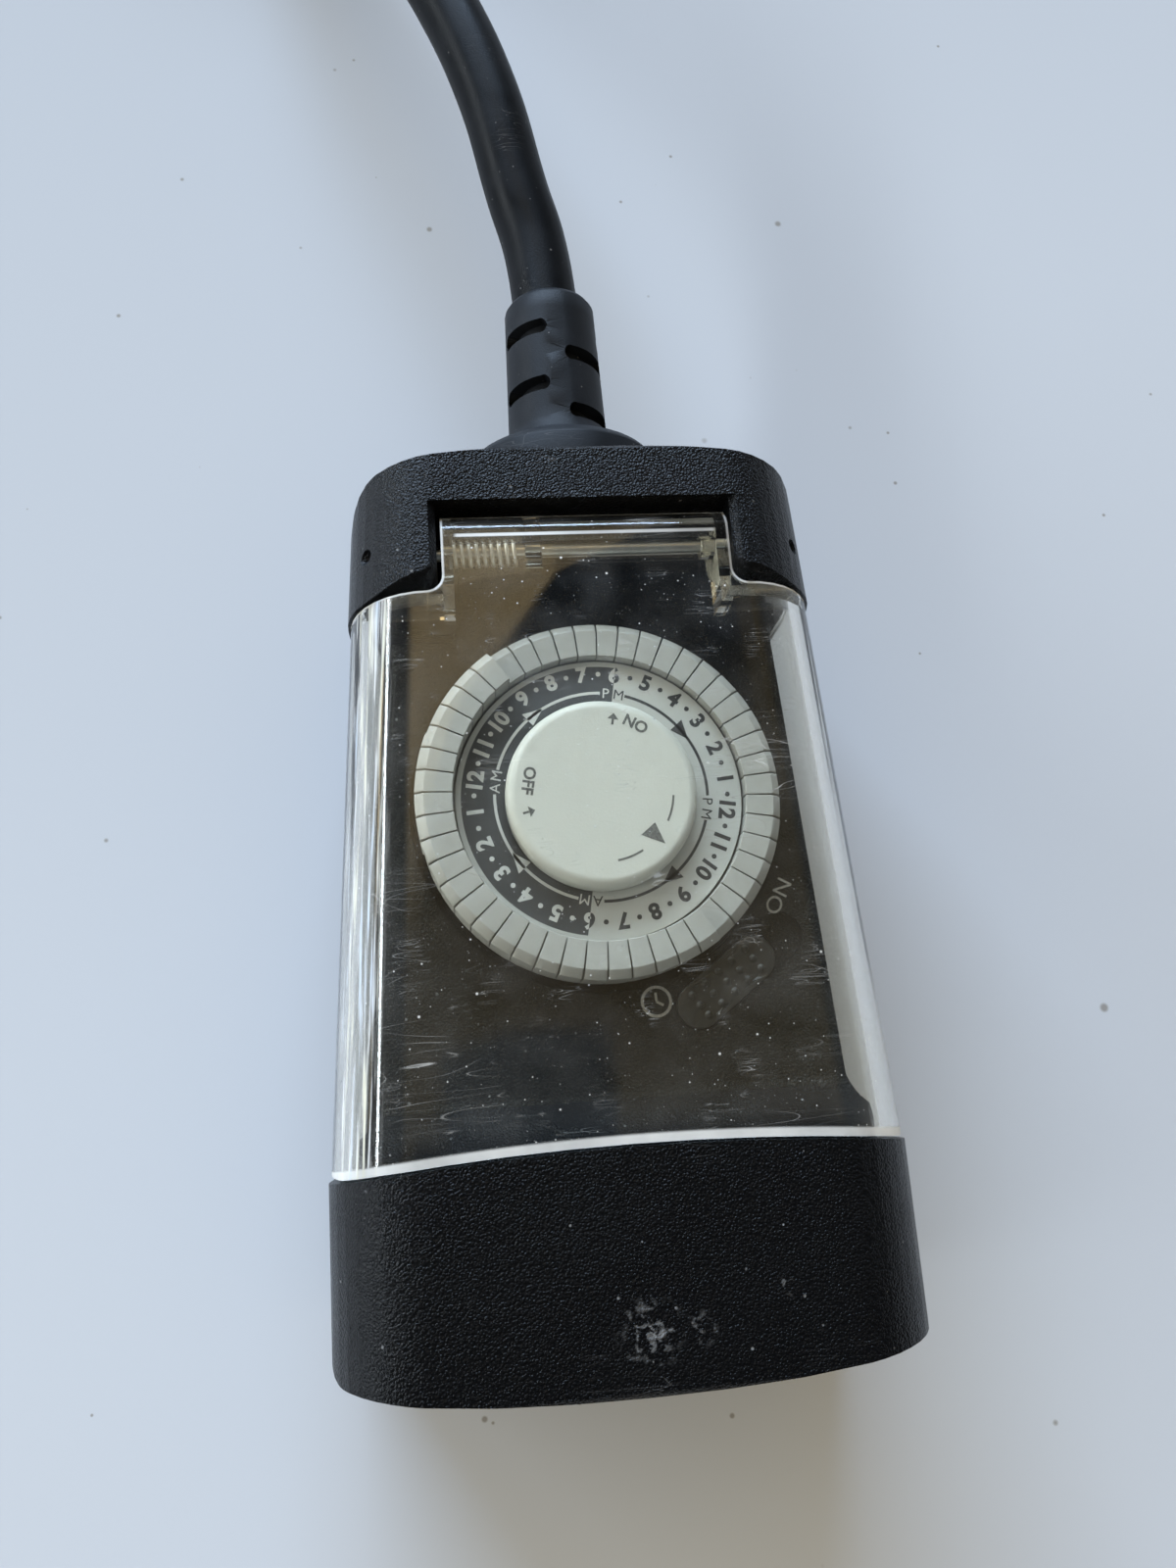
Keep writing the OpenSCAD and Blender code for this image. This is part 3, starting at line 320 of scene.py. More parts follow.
class Finish:
    # A material on the way: its tree, its Principled shader and its coordinates
    def __init__(self, name, colour, roughness, metallic=0.0, **sockets):
        self.material = bpy.data.materials.new(name)
        self.material.use_nodes = True
        self.tree = self.material.node_tree
        self.tree.nodes.clear()
        self.out = addNode(self.tree, "ShaderNodeOutputMaterial", 900, 0)
        self.shader = addNode(self.tree, "ShaderNodeBsdfPrincipled", 500, 0)
        self.set("Base Color", (*colour, 1))
        self.set("Roughness", roughness)
        self.set("Metallic", metallic)
        for socket, value in sockets.items():
            self.set(socket.replace("_", " "), value)
        self.tree.links.new(self.shader.outputs[0], self.out.inputs[0])
        self.place = addNode(self.tree, "ShaderNodeTexCoord", -1200, 0).outputs["Object"]
        self.facing = addNode(self.tree, "ShaderNodeNewGeometry", -1200, -250).outputs["Normal"]
        self.normal = None

    def set(self, socket, value):
        self.shader.inputs[socket].default_value = value

    def link(self, source, socket):
        self.tree.links.new(source, self.shader.inputs[socket])

    def group(self, name, x, y, **sockets):
        node = addNode(self.tree, "ShaderNodeGroup", x, y, node_tree=groups[name])
        for socket, value in sockets.items():
            node.inputs[socket].default_value = value
        self.tree.links.new(self.place, node.inputs["Vector"])
        return node.outputs

    def noise(self, size, detail, x, y, stretch=None, distortion=0.0):
        vector = self.place
        if stretch:
            place = addNode(self.tree, "ShaderNodeMapping", x - 200, y)
            place.inputs["Scale"].default_value = stretch
            self.tree.links.new(vector, place.inputs["Vector"])
            vector = place.outputs[0]
        node = addNode(self.tree, "ShaderNodeTexNoise", x, y, in_Scale=1 / size, in_Detail=detail)
        node.inputs["Distortion"].default_value = distortion
        self.tree.links.new(vector, node.inputs["Vector"])
        return node.outputs[0]

    def mix(self, mask, a, b, x, y):
        return mixColours(self.tree, mask, a, b, x, y)

    def range(self, value, low, high, start, end, x, y, smooth=False):
        return mapRange(self.tree, value, low, high, start, end, x, y, smooth)

    def calc(self, operation, a, b, x, y, clamp=False):
        return math2(self.tree, operation, a, b, x, y, clamp)

    def bump(self, height, strength, distance, x=250, y=-400):
        node = addNode(self.tree, "ShaderNodeBump", x, y, in_Strength=strength, in_Distance=distance)
        self.tree.links.new(height, node.inputs["Height"])
        if self.normal is not None:
            self.tree.links.new(self.normal, node.inputs["Normal"])
        self.normal = node.outputs[0]
        self.link(self.normal, "Normal")


# Finishes

leather = {
    "colour": (0.0022, 0.0026, 0.0034),
    "worn": (0.009, 0.0095, 0.0105),
    "scuff": (0.33, 0.34, 0.35),
    "grain": 0.0003,  # metres across one pebble
    "depth": 0.00013,
    "roughness": (0.22, 0.33),
    "shine": 0.2,
    # The deck's flat upward faces, painted paler as painted light while its walls stay dark: its tone, its
    # heights and how far it reaches sideways, in mm
    "deck": (0.0085, 0.0085, 0.0075),
    "deckBand": (33.2, 34.9, 28),
    # Worn patches: centre in mm, radius in mm, strength
    "patches": [((0.3, -59.9, 45.8), 4.4, 0.7), ((5.8, -60, 45.8), 2.2, 0.6), ((15.8, -56.4, 45.8), 1.7, 0.8),
                ((-22, 44, 45), 3.0, 0.25)],
}


def wornPatches(finish, x, y):
    # Round soft patches where the surface has been rubbed
    total = None
    for k, (centre, radius, strength) in enumerate(leather["patches"]):
        row = y - 160 * k
        away = addNode(finish.tree, "ShaderNodeVectorMath", x, row, operation="DISTANCE")
        away.inputs[1].default_value = Vector(centre) * mm
        finish.tree.links.new(finish.place, away.inputs[0])
        spot = finish.range(away.outputs["Value"], 0.0, radius * mm, strength, 0.0, x + 180, row, True)
        total = spot if total is None else finish.calc("MAXIMUM", total, spot, x + 360, row)
    return total


def deckMask(finish, x, y):
    # 1 on the flat deck and in the slider's recess, where the painted light goes
    low, high, wide = leather["deckBand"]
    place = parted(finish.tree, finish.place, x, y)
    facing = parted(finish.tree, finish.facing, x, y - 200)
    above = finish.calc("GREATER_THAN", place[2], low * mm, x + 200, y)
    below = finish.calc("LESS_THAN", place[2], high * mm, x + 200, y + 150)
    across = finish.calc("ABSOLUTE", place[0], None, x + 200, y - 150)
    within = finish.calc("LESS_THAN", across, wide * mm, x + 400, y - 150)
    flat = finish.range(facing[2], 0.6, 0.95, 0.0, 1.0, x + 200, y - 350, True)
    return finish.calc("MULTIPLY", finish.calc("MULTIPLY", above, below, x + 600, y),
                       finish.calc("MULTIPLY", within, flat, x + 600, y - 150), x + 800, y)


def blackPlastic():
    finish = Finish("blackPlastic", leather["colour"], 0.4, Specular_IOR_Level=leather["shine"])
    grain = finish.group("leather", -900, 100, Size=leather["grain"], Fine=0.35)
    slow = finish.noise(0.012, 3, -900, 400)
    patches = wornPatches(finish, -1000, -700)
    broken = finish.noise(0.0011, 4, -900, -400, distortion=0.6)
    wearAndPaintedHighlight = finish.calc("MULTIPLY", patches, finish.range(broken, 0.52, 0.68, 0, 1, -600, -400), -300, -600)
    hair = finish.group("hairlines", -900, -150, Length=0.009, Width=0.006, Amount=0.35)["Mask"]
    dust = finish.group("dust", -900, -300, Spacing=0.0042, Amount=0.16)["Mask"]
    high = finish.calc("MULTIPLY", grain["Height"], 0.3, -500, 250)
    colour = finish.mix(high, leather["colour"], leather["worn"], -250, 250)
    # Painted light: the deck's flat upward faces are made paler than the dark walls around them
    colour = finish.mix(deckMask(finish, -1900, 800), colour, leather["deck"], -100, 350)
    marks = finish.calc("MAXIMUM", wearAndPaintedHighlight, finish.calc("MULTIPLY", hair, 0.22, -500, -150), -250, -300)
    marks = finish.calc("MAXIMUM", marks, finish.calc("MULTIPLY", dust, 0.5, -500, -300), -100, -300)
    finish.link(finish.mix(marks, colour, leather["scuff"], 100, 200), "Base Color")
    finish.link(finish.range(slow, 0.3, 0.7, *leather["roughness"], -250, 450), "Roughness")
    finish.bump(grain["Height"], 0.9, leather["depth"])
    return finish.material


def plainPlastic(name, colour, roughness=0.5, grain=0.0006, depth=0.00003, dirt=0.25, tint=None, **sockets):
    # Moulded plastic with a fine grain, a slow change of tone and dust
    finish = Finish(name, colour, roughness, **sockets)
    slow = finish.noise(0.008, 4, -900, 300)
    fine = finish.noise(grain, 2, -900, 0)
    darker = tint or tuple(c * 0.78 for c in colour)
    tone = finish.calc("MULTIPLY", finish.range(slow, 0.35, 0.7, 0, 1, -600, 300), dirt, -400, 300)
    dust = finish.group("dust", -900, -300, Spacing=0.0035, Amount=0.12)["Mask"]
    toned = finish.mix(tone, colour, darker, -200, 300)
    speck = (0.55, 0.53, 0.5) if sum(colour) < 0.9 else tuple(c * 0.5 for c in colour)
    dust = finish.calc("MULTIPLY", dust, 0.45, -400, -300)
    finish.link(finish.mix(dust, toned, speck, 100, 200), "Base Color")
    finish.link(finish.range(slow, 0.3, 0.7, roughness - 0.07, roughness + 0.07, -250, 550), "Roughness")
    finish.bump(fine, 0.5, depth)
    return finish.material


sliderLook = {
    "colour": (0.022, 0.021, 0.018),
    # The painted highlight's colour, and the way the faces it lies on are turned
    "wearAndPaintedHighlight": (0.19, 0.2, 0.205),
    "highlightFrom": (-0.38, 0.8, 0.46),
}


def sliderFinish():
    # Black knob whose edges and bumps facing up and towards the hinge get a painted highlight
    finish = Finish("sliderBlack", sliderLook["colour"], 0.36)
    towards = dotWith(finish.tree, finish.facing, sliderLook["highlightFrom"], -700, 200)
    broken = finish.noise(0.0015, 2, -900, 0)
    # Painted highlight: faces turned up and towards the hinge are painted pale, broken up by noise
    wearAndPaintedHighlight = finish.calc("MULTIPLY", finish.range(towards, 0.62, 0.95, 0.0, 1.0, -450, 200),
                         finish.range(broken, 0.35, 0.6, 0.35, 1.0, -450, 0), -200, 100)
    finish.link(finish.mix(wearAndPaintedHighlight, sliderLook["colour"], sliderLook["wearAndPaintedHighlight"], 100, 200), "Base Color")
    finish.bump(finish.noise(0.0004, 2, -900, -300), 0.4, 0.00002)
    return finish.material


def metal(name, colour, roughness, streaks=(1, 1, 1), depth=0.000008):
    # Drawn or plated metal with fine streaks and a dull film
    finish = Finish(name, colour, roughness, 1.0)
    lines = finish.noise(0.0004, 3, -900, 0, stretch=streaks)
    film = finish.noise(0.003, 4, -900, 300)
    duller = finish.range(film, 0.42, 0.72, 0, 0.7, -500, 300)
    dull = tuple(c * 0.62 for c in colour)
    finish.link(finish.mix(duller, colour, dull, 0, 250), "Base Color")
    finish.link(finish.range(film, 0.3, 0.75, roughness, roughness + 0.22, -250, 550), "Roughness")
    finish.bump(lines, 0.5, depth)
    return finish.material


def rubber(name, colour, roughness=0.3, shine=0.4):
    # Soft vinyl: satin, with a faint bloom and small scuffs
    finish = Finish(name, colour, roughness, Specular_IOR_Level=shine)
    bloom = finish.noise(0.006, 5, -900, 300, distortion=0.3)
    fine = finish.noise(0.00022, 2, -900, 0)
    hair = finish.group("hairlines", -900, -150, Length=0.007, Width=0.008, Amount=0.5)["Mask"]
    dust = finish.group("dust", -900, -350, Spacing=0.003, Amount=0.2)["Mask"]
    pale = tuple(min(1, c * 2 + 0.004) for c in colour)
    toned = finish.mix(finish.range(bloom, 0.4, 0.75, 0, 0.6, -500, 300), colour, pale, -200, 300)
    marks = finish.calc("MAXIMUM", finish.calc("MULTIPLY", hair, 0.12, -500, -150),
                        finish.calc("MULTIPLY", dust, 0.3, -500, -350), -250, -250)
    finish.link(finish.mix(marks, toned, (0.4, 0.4, 0.4), 100, 200), "Base Color")
    finish.link(finish.range(bloom, 0.3, 0.75, roughness - 0.05, roughness + 0.07, -250, 550), "Roughness")
    finish.bump(fine, 0.6, 0.00004)
    return finish.material


glassLook = {
    "tint": (0.955, 0.935, 0.865),
    "roughness": 0.02,
    "shade": (0.9, 0.885, 0.84),
}


def clearCover():
    finish = Finish("clearCover", glassLook["tint"], glassLook["roughness"],
                    Transmission_Weight=1.0, IOR=1.49)
    slow = finish.noise(0.01, 3, -900, 300)
    finish.link(finish.range(slow, 0.35, 0.75, 0.012, 0.075, -300, 450), "Roughness")
    waves = finish.noise(0.02, 1, -900, 0)
    finish.bump(waves, 0.12, 0.0006)
    # Light passes to what is under the cover
    path = addNode(finish.tree, "ShaderNodeLightPath", 300, 500)
    clear = addNode(finish.tree, "ShaderNodeBsdfTransparent", 500, 250)
    clear.inputs[0].default_value = (*glassLook["shade"], 1)
    blend = addNode(finish.tree, "ShaderNodeMixShader", 750, 200)
    finish.tree.links.new(path.outputs["Is Shadow Ray"], blend.inputs[0])
    finish.tree.links.new(finish.shader.outputs[0], blend.inputs[1])
    finish.tree.links.new(clear.outputs[0], blend.inputs[2])
    finish.tree.links.new(blend.outputs[0], finish.out.inputs[0])
    return finish.material


# The cover's cut edges in mm, where painted highlights lie: its lower edge, and the hollow corner between tab
# and shoulder
coverEdge = {
    "low": 40.7,
    "bow": 1.15 / 26 ** 2,
    "lowBand": (0.75, 1.15),
    "corner": (20, 27.3, 2),
    "band": (0.15, 0.38),
    # Painted highlight lines across the hinge roll: middle, half width, ends across, strength
    "rolls": [(35.95, 0.45, 18, 0.6), (32.45, 0.3, 16.5, 0.8)],
}


def cutEdges(finish, x, y):
    # 1 beside the cover's cut edges: a painted highlight where the clear plastic catches the light
    place = parted(finish.tree, finish.place, x, y)
    across = finish.calc("ABSOLUTE", finish.calc("DIVIDE", place[0], mm, x + 150, y), None, x + 300, y)
    along = finish.calc("DIVIDE", place[1], mm, x + 150, y - 200)
    square = finish.calc("POWER", across, 2, x + 450, y)
    sag = finish.calc("MULTIPLY", square, coverEdge["bow"], x + 600, y)
    away = finish.calc("ADD", along, coverEdge["low"], x + 450, y - 200)
    away = finish.calc("ADD", away, sag, x + 750, y - 200)
    low = finish.range(away, *coverEdge["lowBand"], 1.0, 0.0, x + 900, y - 200, True)
    cx, cy, radius = coverEdge["corner"]
    sides = []
    for row, centre, value in ((y - 400, cx, across), (y - 600, cy, along)):
        gap = finish.calc("MAXIMUM", finish.calc("SUBTRACT", centre, value, x + 450, row), 0, x + 600, row)
        sides.append(finish.calc("POWER", gap, 2, x + 750, row))
    reach = finish.calc("SQRT", finish.calc("ADD", *sides, x + 900, y - 500), None, x + 1050, y - 500)
    reach = finish.calc("SUBTRACT", reach, radius, x + 1200, y - 500)
    high = finish.range(reach, *coverEdge["band"], 0.75, 0.0, x + 1350, y - 500, True)
    total = finish.calc("MAXIMUM", low, high, x + 1500, y - 300)
    for k, (middle, half, end, strength) in enumerate(coverEdge["rolls"]):
        row = y - 900 - 200 * k
        off = finish.calc("SUBTRACT", along, middle, x + 450, row)
        off = finish.calc("ABSOLUTE", off, None, x + 600, row)
        line = finish.range(off, half * 0.4, half, strength, 0.0, x + 750, row, True)
        short = finish.range(across, end - 0.5, end, 1.0, 0.0, x + 900, row)
        line = finish.calc("MULTIPLY", line, short, x + 1050, row)
        total = finish.calc("MAXIMUM", total, line, x + 1650 + 150 * k, y - 300)
    return total


# Painted reflection streaks along the cover's left shoulder: the side's line, the streaks' band and their
# tints
streakFacts = {
    "side": (32.05, 0.0573),
    "band": (0.8, 2.2, 5.4, 7.2),
    "white": (0.86, 0.88, 0.9),
    "yellow": (0.86, 0.84, 0.62),
    "blue": (0.6, 0.74, 0.95),
}
# The colour of the wear and of the painted highlights on the cover
wearAndHighlightColour = (0.78, 0.78, 0.76)


def rollStreaks(finish, x, y):
    # Painted reflection: bright lines where the rounded shoulder draws the window out lengthwise
    parts = parted(finish.tree, finish.place, x, y)
    across = finish.calc("DIVIDE", parts[0], mm, x + 150, y)
    along = finish.calc("DIVIDE", parts[1], mm, x + 150, y - 150)
    side, taper = streakFacts["side"]
    inward = finish.calc("SUBTRACT", finish.calc("ADD", across, side, x + 300, y),
                         finish.calc("MULTIPLY", along, taper, x + 300, y - 150), x + 450, y)
    a, b, c, d = streakFacts["band"]
    band = finish.calc("MULTIPLY", finish.range(inward, a, b, 0.0, 1.0, x + 600, y, True),
                       finish.range(inward, c, d, 1.0, 0.0, x + 600, y - 150, True), x + 750, y)
    place = addNode(finish.tree, "ShaderNodeCombineXYZ", x + 600, y - 350)
    finish.tree.links.new(inward, place.inputs[0])
    finish.tree.links.new(finish.calc("MULTIPLY", along, 0.03, x + 450, y - 350), place.inputs[1])
    lines = addNode(finish.tree, "ShaderNodeTexNoise", x + 750, y - 350, in_Scale=2.3, in_Detail=4.0)
    tone = addNode(finish.tree, "ShaderNodeTexNoise", x + 750, y - 600, in_Scale=0.75, in_Detail=0.0)
    finish.tree.links.new(place.outputs[0], lines.inputs["Vector"])
    finish.tree.links.new(place.outputs[0], tone.inputs["Vector"])
    bright = finish.range(lines.outputs[0], 0.47, 0.66, 0.0, 0.72, x + 900, y - 350)
    whiter = finish.range(tone.outputs[0], 0.42, 0.55, 0.0, 1.0, x + 900, y - 600)
    bluer = finish.range(tone.outputs[0], 0.56, 0.64, 0.0, 1.0, x + 1050, y - 800)
    tint = finish.mix(whiter, streakFacts["yellow"], streakFacts["white"], x + 1050, y - 600)
    tint = finish.mix(bluer, tint, streakFacts["blue"], x + 1200, y - 600)
    shown = finish.calc("MULTIPLY", band, bright, x + 1050, y)
    return shown, finish.mix(shown, wearAndHighlightColour, tint, x + 1350, y - 400)


def coverWearFinish():
    finish = Finish("coverWearAndHighlights", wearAndHighlightColour, 0.6)
    long = finish.group("hairlines", -900, 200, Length=0.016, Width=0.0028, Amount=0.6)["Mask"]
    short = finish.group("hairlines", -900, 0, Length=0.0046, Width=0.0085, Amount=0.5)["Mask"]
    dust = finish.group("dust", -900, -200, Spacing=0.0021, Amount=0.42)["Mask"]
    crumbs = finish.group("dust", -900, -400, Spacing=0.0011, Amount=0.4)["Mask"]
    film = finish.noise(0.009, 5, -900, -600, distortion=0.4)
    total = finish.calc("MAXIMUM", finish.calc("MULTIPLY", long, 0.42, -600, 200),
                        finish.calc("MULTIPLY", short, 0.34, -600, 0), -400, 100)
    total = finish.calc("MAXIMUM", total, finish.calc("MULTIPLY", dust, 0.75, -600, -200), -200, 100)
    total = finish.calc("MAXIMUM", total, finish.calc("MULTIPLY", crumbs, 0.5, -600, -400), -50, 100)
    haze = finish.range(film, 0.38, 0.8, 0.002, 0.035, -300, -600)
    # Painted reflection streaks and painted highlights, laid over the real hairlines, dust and haze
    streaks, tint = rollStreaks(finish, -2600, 900)
    finish.link(tint, "Base Color")
    total = finish.calc("MAXIMUM", total, streaks, 0, 200)
    uneven = finish.range(film, 0.3, 0.7, 0.6, 0.95, -600, -900)
    # Painted highlights along the cut edges and across the hinge roll
    cut = finish.calc("MULTIPLY", cutEdges(finish, -2600, -900), uneven, -300, -900)
    total = finish.calc("MAXIMUM", total, cut, 50, 0)
    finish.link(finish.calc("ADD", total, haze, 200, 0, True), "Alpha")
    return finish.material


def coverRimFinish(name, thin, thick):
    # A pale see-through film: a painted highlight on the cover's cut faces
    finish = Finish(name, (0.86, 0.87, 0.86), 0.5)
    film = finish.noise(0.002, 4, -900, -600)
    finish.link(finish.range(film, 0.3, 0.75, thin, thick, -300, -600), "Alpha")
    return finish.material


# The dial's two halves: charcoal from 6 am to 6 pm on the left, white on the right
dialLook = {
    "split": 9.9,  # degrees clockwise from +Y where 6 pm stands
    "offset": (0.28, 0.05),  # mm from the middle of the dial to the line's middle
    "dark": (0.045, 0.047, 0.05),
    "light": (0.46, 0.455, 0.42),
    "rim": 17.05,  # mm, where the white rim line starts
    "soft": 0.03,  # mm, half the width of a printed edge
    "paleInk": (0.6, 0.59, 0.55),
    "wornInk": (0.45, 0.45, 0.43),
    "darkInk": (0.025, 0.025, 0.027),
}


def darkHalf(finish, x, y):
    # 1 on the charcoal half, 0 on the white one
    a = math.radians(dialLook["split"])
    way = (-math.cos(a), math.sin(a), 0)
    across = dotWith(finish.tree, finish.place, way, x, y)
    middle = (way[0] * dialLook["offset"][0] + way[1] * dialLook["offset"][1]) * mm
    soft = dialLook["soft"] * mm
    return finish.range(across, middle - soft, middle + soft, 0.0, 1.0, x + 200, y)


def dialPlateFinish():
    finish = Finish("dialPlate", dialLook["light"], 0.55)
    half = darkHalf(finish, -900, 300)
    flat = addNode(finish.tree, "ShaderNodeVectorMath", -900, 0, operation="MULTIPLY")
    flat.inputs[1].default_value = (1, 1, 0)
    finish.tree.links.new(finish.place, flat.inputs[0])
    reach = addNode(finish.tree, "ShaderNodeVectorMath", -700, 0, operation="LENGTH")
    finish.tree.links.new(flat.outputs[0], reach.inputs[0])
    rim = dialLook["rim"] * mm
    soft = dialLook["soft"] * mm
    inside = finish.range(reach.outputs["Value"], rim - soft, rim + soft, 1.0, 0.0, -500, 0)
    dark = finish.calc("MULTIPLY", half, inside, -250, 200)
    slow = finish.noise(0.004, 4, -900, -300)
    pale = finish.mix(finish.range(slow, 0.4, 0.8, 0, 0.5, -500, -300), dialLook["light"],
                      tuple(c * 0.85 for c in dialLook["light"]), -200, -200)
    finish.link(finish.mix(dark, pale, dialLook["dark"], 100, 200), "Base Color")
    finish.bump(finish.noise(0.0002, 2, -900, -500), 0.3, 0.00001)
    return finish.material


def dialInkFinish():
    finish = Finish("dialInk", dialLook["paleInk"], 0.5)
    half = darkHalf(finish, -900, 300)
    worn = finish.noise(0.0003, 3, -900, 0)
    worn = finish.range(worn, 0.3, 0.75, 0, 0.35, -500, 0)
    pale = finish.mix(worn, dialLook["paleInk"], dialLook["wornInk"], -200, 0)
    finish.link(finish.mix(half, dialLook["darkInk"], pale, 100, 200), "Base Color")
    return finish.material


def inkFinish(name, colour, other):
    finish = Finish(name, colour, 0.5)
    worn = finish.noise(0.00025, 4, -900, 0)
    finish.link(finish.mix(finish.range(worn, 0.35, 0.7, 0, 1, -500, 0), colour, other, 0, 100), "Base Color")
    return finish.material


looks = {
    "black_plastic": blackPlastic(),
    "outlet_black": plainPlastic("outletBlack", (0.008, 0.008, 0.009), 0.45, dirt=0.5,
                                 tint=(0.018, 0.018, 0.02)),
    "slider_black": sliderFinish(),
    "clear_cover": clearCover(),
    "steel": metal("zincSteel", (0.62, 0.61, 0.58), 0.28, streaks=(0.05, 1, 1)),
    "spring_steel": metal("springSteel", (0.82, 0.8, 0.73), 0.38),
    "ring_grey": plainPlastic("ringGrey", (0.355, 0.35, 0.325), 0.5, grain=0.00035, dirt=0.6,
                              tint=(0.27, 0.26, 0.23)),
    "dial_white": dialPlateFinish(),
    "cap_ivory": plainPlastic("capIvory", (0.51, 0.505, 0.455), 0.48, grain=0.0003, depth=0.00003, dirt=0.4,
                              tint=(0.46, 0.45, 0.395)),
    "gear_white": plainPlastic("acetalWhite", (0.72, 0.72, 0.68), 0.4, Subsurface_Weight=0.05),
    "movement_grey": plainPlastic("movementGrey", (0.09, 0.095, 0.1), 0.5),
    "motor_can": metal("motorCan", (0.66, 0.65, 0.6), 0.35, streaks=(1, 1, 0.05)),
    "brass": metal("brass", (0.78, 0.6, 0.27), 0.25, streaks=(1, 0.08, 1)),
    "switch_red": plainPlastic("switchRed", (0.3, 0.035, 0.025), 0.4),
    "boot_rubber": rubber("bootRubber", (0.009, 0.0105, 0.013), 0.5, 0.15),
    "cord_vinyl": rubber("cordVinyl", (0.003, 0.0035, 0.0045), 0.4, 0.1),
    "plug_vinyl": rubber("plugVinyl", (0.008, 0.0085, 0.01), 0.36),
}

slotOf = {row["node"]: row["material_slot"] for row in frame["record"]["subparts"]}


def smoothNode(node, width, angle=31):
    # Joins the faces of a solid, rounds its sharp edges and keeps its flat faces flat
    weld = node.modifiers.new("weld", "WELD")
    weld.merge_threshold = 2e-6
    for face in node.data.polygons:
        face.use_smooth = True
    bevel = node.modifiers.new("softEdges", "BEVEL")
    bevel.width = width
    bevel.segments = 2
    bevel.limit_method = "ANGLE"
    bevel.angle_limit = math.radians(angle)
    bevel.use_clamp_overlap = True
    flat = node.modifiers.new("flatFaces", "WEIGHTED_NORMAL")
    flat.mode = "FACE_AREA"
    flat.weight = 90


for name, node in nodes.items():
    node.data.materials.clear()
    node.data.materials.append(looks[slotOf[name]])
cordRun.data.materials.append(looks["cord_vinyl"])
print("finishes ready")

# Printing

letterMeshes = {}


def letters(text, bold):
    # The flat mesh of a word, one unit high, its middle on the origin
    key = (text, bold)
    if key not in letterMeshes:
        curve = bpy.data.curves.new("word", "FONT")
        curve.body = text
        curve.align_x = "CENTER"
        curve.offset = bold
        curve.extrude = 0.01
        curve.resolution_u = 16
        word = bpy.data.objects.new("word", curve)
        bpy.context.scene.collection.objects.link(word)
        bpy.context.view_layer.update()
        mesh = bpy.data.meshes.new_from_object(word.evaluated_get(bpy.context.evaluated_depsgraph_get()))
        bpy.data.objects.remove(word)
        top = max(v.co.y for v in mesh.vertices)
        low = min(v.co.y for v in mesh.vertices)
        left = min(v.co.x for v in mesh.vertices)
        right = max(v.co.x for v in mesh.vertices)
        mesh.transform(Matrix.Translation((-(left + right) / 2, -(top + low) / 2, 0)))
        mesh.transform(Matrix.Scale(1 / (top - low), 4))
        letterMeshes[key] = mesh
    return letterMeshes[key]


class Print:
    # Thin ink on a flat face at a height, gathered into one piece
    def __init__(self, height, thick=0.02):
        self.bm = bmesh.new()
        self.low = height * mm
        self.high = (height + thick) * mm

    def addMesh(self, mesh, matrix):
        before = len(self.bm.verts)
        self.bm.from_mesh(mesh)
        self.bm.verts.ensure_lookup_table()
        for vert in self.bm.verts[before:]:
            up = vert.co.z > 0
            vert.co = matrix @ vert.co
            vert.co.z = self.high if up else self.low

    def word(self, text, radius, angle, size, bold=0.0, out=True, wide=1.0, centre=(0, 0)):
        # angle is clockwise from +Y, and the tops point outwards or inwards
        a = math.radians(angle)
        spin = -a if out else math.pi - a
        at = (centre[0] + radius * math.sin(a), centre[1] + radius * math.cos(a), 0)
        matrix = (Matrix.Translation(Vector(at) * mm) @ Matrix.Rotation(spin, 4, "Z")
                  @ Matrix.Diagonal((size * wide * mm, size * mm, mm, 1)))
        self.addMesh(letters(text, bold), matrix)

    def shape(self, points):
        # A flat outline given in mm, made solid
        low = [self.bm.verts.new((x * mm, y * mm, self.low)) for x, y in points]
        high = [self.bm.verts.new((x * mm, y * mm, self.high)) for x, y in points]
        self.bm.faces.new(low)
        self.bm.faces.new(high)
        for k in range(len(points)):
            n = (k + 1) % len(points)
            self.bm.faces.new((low[k], low[n], high[n], high[k]))

    def arc(self, radius, start, end, width, centre=(0, 0), step=3):
        count = max(2, int(abs(end - start) / step))
        inner, outer = [], []
        for k in range(count + 1):
            a = math.radians(start + (end - start) * k / count)
            for row, r in ((inner, radius - width / 2), (outer, radius + width / 2)):
                row.append((centre[0] + r * math.sin(a), centre[1] + r * math.cos(a)))
        for k in range(count):
            self.shape([inner[k], outer[k], outer[k + 1], inner[k + 1]])

    def dot(self, radius, angle, size):
        a = math.radians(angle)
        x, y = radius * math.sin(a), radius * math.cos(a)
        steps = [2 * math.pi * k / 16 for k in range(16)]
        self.shape([(x + size / 2 * math.cos(s), y + size / 2 * math.sin(s)) for s in steps])

    def line(self, start, end, width):
        a, b = Vector(start), Vector(end)
        side = Vector((a.y - b.y, b.x - a.x)).normalized() * width / 2
        self.shape([tuple(a + side), tuple(a - side), tuple(b - side), tuple(b + side)])

    def piece(self, name, body, slot, material):
        bmesh.ops.remove_doubles(self.bm, verts=self.bm.verts, dist=1e-7)
        return newPiece(name, meshFrom(name, self.bm, False), body, material)


def onCircle(radius, angle):
    a = math.radians(angle)
    return radius * math.sin(a), radius * math.cos(a)


dialMarks = {
    "height": 38.4,
    "numbers": 15.7,
    "size": 2.1,
    "bold": 0.04,
    "dots": 0.62,
    "arcs": 13.2,
    "arcWidth": 0.36,
    "labels": ["PM", "PM", "AM", "AM"],
    "labelSize": 1.25,
    "labelTurn": 3.5,
    "shift": (0.28, 0.35),
}


